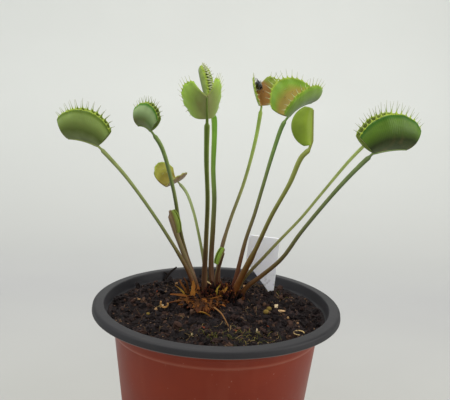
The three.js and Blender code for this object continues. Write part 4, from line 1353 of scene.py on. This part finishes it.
def build_dead_leaves():
    """The tuft: a few blades that stand out over a dense mat of short ones."""
    rng = random.Random(77)
    shape = Shape()
    for start, end, arch, width, shade in LONG_BLADES:
        add_dead_blade(shape, rng, start, end, arch, width, shade)
    for number in range(SHORT_BLADES):
        outwards, reach = spot_in_disc(number, rng)
        start = TUFT_FOOT + TUFT_SPREAD * outwards * reach + UP * rng.uniform(0.2, 2.6) * (1.15 - reach)
        length = rng.uniform(2.2, 5)
        end = start + outwards * length + UP * rng.uniform(-0.6, 2.6) * (1.3 - reach)
        add_dead_blade(shape, rng, start, end, rng.uniform(0.2, 1), rng.uniform(0.8, 1.8),
                       rng.random() ** 1.5 * 0.6)
    add_skirt(shape, rng)
    add_old_bases(shape, rng)
    add_mesh("withered_leaves", shape, [dead_leaf_material()], ["dead_leaves"])


# The tag
def build_tag():
    """The frame's own strip, with its edges eased."""
    body = bmesh.new()
    body.from_mesh(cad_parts["plant_tag"].data)
    bmesh.ops.remove_doubles(body, verts=body.verts, dist=0.01 * MM)
    bmesh.ops.dissolve_limit(body, angle_limit=math.radians(2), verts=body.verts, edges=body.edges)
    sharp = [e for e in body.edges if e.calc_face_angle(0) > math.radians(20)]
    bmesh.ops.bevel(body, geom=sharp, offset=0.18 * MM, segments=3, profile=0.6, affect="EDGES")
    mesh = bpy.data.meshes.new("tag_strip")
    body.to_mesh(mesh)
    body.free()
    mesh.materials.clear()
    mesh.materials.append(tag_material())
    piece = add_object("tag_strip", mesh)
    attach(piece, "root")
    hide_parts("plant_tag")


# The insect. Its abdomen, thorax and head: how far forward, half length, radius and rings
FLY_RADIUS = 1.4
FLY_LUMPS = [(-1.6, 2.4, FLY_RADIUS, 14), (0.9, 1.6, 1.3, 0), (2.6, 1.0, 1.05, 0)]
FLY_STATIONS = 22
FLY_SIDES = 14
WING_STATIONS = 10
WING_HALF = 0.07


def build_insect():
    """A small fly: striped abdomen, thorax, head with eyes, bent legs and folded wings."""
    along, opening, _ = trap_axes(INSECT_LEAF["trap"])
    point, outward = lobe_point(INSECT_LEAF, 0.6, 0.54, -1)
    up = -outward
    middle = point + up * (LOBE_THICKNESS / 2 + GAP + FLY_RADIUS)
    nose = unit(np.cross(along, up))
    if nose @ opening < 0:
        nose = -nose
    across = np.cross(up, nose)
    shape = Shape()
    for forward, length, wide, rings in FLY_LUMPS:
        steps = np.linspace(0.02, 0.98, FLY_STATIONS) * math.pi
        places = middle + nose * (forward - length * np.cos(steps))[:, None]
        half = wide * np.sin(steps) * (1 + 0.05 * np.cos(rings * steps))
        tube(shape, places, across, up, half, half, FLY_SIDES)
    for which in (-1, 1):
        eye = middle + nose * 2.9 + across * which * 0.75 + up * 0.3
        steps = np.linspace(0.05, 0.95, 8) * math.pi
        places = eye - across * which * 0.5 * np.cos(steps)[:, None]
        half = 0.52 * np.sin(steps)
        tube(shape, places, nose, up, half, half, 10)
        for forward in (0.1, 0.9, 1.7):
            knee = middle + nose * (forward * 1.5 - 0.5) + across * which * 2.2 + up * 0.1
            foot = middle + nose * (forward * 2.0 - 1.1) + across * which * 2.9 - up * 1.2
            hip = middle + nose * forward + across * which * 0.9 - up * 0.5
            add_thread(shape, [hip, knee, foot], 0.15, steps=9)
        back = unit(-nose + across * which * 0.45)
        root = middle + nose * 0.8 + up * 0.95 + across * which * 0.5
        steps = np.linspace(0, 1, WING_STATIONS)
        places = root + back * (5 * steps)[:, None] + up * (0.25 * np.sin(steps * math.pi))[:, None]
        half = 0.15 + 0.95 * np.sin(math.pi * steps**0.8) * (1 - 0.2 * steps)
        depth = np.full(WING_STATIONS, WING_HALF)
        tube(shape, places, np.cross(up, back), up, half, depth, 10)
    add_mesh("caught_fly", shape, [insect_material()], ["caught_insect"])


# The stage
FLOOR_FRONT = -700
FLOOR_BACK = 350
SWEEP_RADIUS = 300
WALL_TOP = 900
FLOOR_HALF_WIDTH = 1400
SWEEP_STEPS = 24


def build_stage():
    """A pale floor that sweeps up into a back wall, painted darker towards the front as painted shade."""
    profile = [(FLOOR_FRONT, 0.0)]
    for turn in np.linspace(0, math.pi / 2, SWEEP_STEPS):
        rise = SWEEP_RADIUS * (1 - math.cos(turn))
        profile.append((FLOOR_BACK + SWEEP_RADIUS * math.sin(turn), rise))
    profile.append((FLOOR_BACK + SWEEP_RADIUS, WALL_TOP))
    points = [(x, y, z) for y, z in profile for x in (-FLOOR_HALF_WIDTH, FLOOR_HALF_WIDTH)]
    mesh = bpy.data.meshes.new("floor")
    mesh.from_pydata((np.array(points) * MM).tolist(), [], grid_faces(len(profile), 2))
    for polygon in mesh.polygons:
        polygon.use_smooth = True
    shader = Shader("pale_floor", roughness=0.9, specular=0.1)
    # Painted shade: the floor gets darker towards the front, where the light falls off.
    depth = shader.level(shader.axis("Y"), 0.1, 0.65)
    paint = shader.ramp(depth, (0.0, "b3b3af"), (0.3, "bababa"), (0.6, "cfd0cd"), (0.85, "e1e3df"))
    paint = shader.mix(shader.level(shader.noise(6), 0.2, 2.0), paint, "d0d1cd")
    mesh.materials.append(shader.paint(paint))
    add_object("floor", mesh)


# Area lights: place, the height over the pot's middle that they face, size, power and tint
LIGHTS = {
    "overhead": ((-60, 60, 720), 90, (700, 600), 3.4, "fffdf8"),
    "left": ((-620, -40, 330), 100, (420, 520), 1.15, "fbfdff"),
    "right": ((600, -160, 330), 100, (420, 520), 2.5, "fffdfa"),
    "front": ((-120, -720, 420), 120, (600, 500), 1.15, "fffefc"),
}


def add_area(name, place, faced_height, size, power, tint):
    light = bpy.data.lights.new(name, "AREA")
    light.shape = "RECTANGLE"
    light.size, light.size_y = (s * MM for s in size)
    light.energy = power
    light.color = colour(tint)[:3]
    lamp = add_object(name, light)
    lamp.location = Vector(place) * MM
    aim = (Vector((0, 0, faced_height)) - Vector(place)).normalized()
    lamp.rotation_euler = aim.to_track_quat("-Z", "Y").to_euler()


def build_lights():
    world = bpy.data.worlds.new("studio")
    world.use_nodes = True
    background = world.node_tree.nodes["Background"]
    background.inputs["Color"].default_value = colour("e8ecef")
    background.inputs["Strength"].default_value = 0.45
    bpy.context.scene.world = world
    for name, light in LIGHTS.items():
        add_area(name, *light)
    view = bpy.context.scene.view_settings
    view.view_transform = "Standard"
    view.look = "None"


# The camera, aimed near the rim's centre: yaw and pitch in radians, elevation and roll in degrees
CAMERA_AIM_HEIGHT = 88
CAMERA_DISTANCE = 400
CAMERA_ELEVATION = 19.92
CAMERA_YAW = -0.0039
CAMERA_PITCH = 0.1085
CAMERA_ROLL = 2.51
FOCAL_PIXELS = 969.1
FRAME_WIDTH = 450
SENSOR = 36


def build_camera():
    """Looks at the pot's rim from the front, a little from above, and leans as the picture does."""
    elevation = math.radians(CAMERA_ELEVATION)
    place = Vector((0, -CAMERA_DISTANCE * math.cos(elevation),
                    CAMERA_AIM_HEIGHT + CAMERA_DISTANCE * math.sin(elevation)))
    forward = Vector((0, math.cos(elevation), -math.sin(elevation)))
    right = Vector((1, 0, 0))
    upward = right.cross(forward)
    yaw = Matrix.Rotation(CAMERA_YAW, 3, upward)
    forward, right = yaw @ forward, yaw @ right
    forward = Matrix.Rotation(CAMERA_PITCH, 3, right) @ forward
    upward = right.cross(forward)
    roll = math.radians(CAMERA_ROLL)
    leaned_right = right * math.cos(roll) + upward * math.sin(roll)
    leaned_up = upward * math.cos(roll) - right * math.sin(roll)
    data = bpy.data.cameras.new("camera")
    data.sensor_width = SENSOR
    data.lens = FOCAL_PIXELS / FRAME_WIDTH * SENSOR
    data.clip_start = 0.01
    camera = add_object("camera", data)
    turn = Matrix((leaned_right, leaned_up, -forward)).transposed()
    camera.matrix_world = Matrix.Translation(place * MM) @ turn.to_4x4()
    bpy.context.scene.camera = camera


build_camera()
build_lights()
build_stage()
build_pot(terracotta_plastic(), dark_plastic())
build_peat(peat_material())
build_crumbs()
build_fibres()
build_chips()
build_twig()
build_dry_stalks()
build_scrap()
build_moss()
for number, leaf in enumerate(LEAVES, start=1):
    build_leaf(number, leaf)
build_dead_leaves()
build_tag()
build_insect()
rhizome_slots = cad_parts["rhizome"].material_slots
rhizome_slots[0].material = rhizome_material()
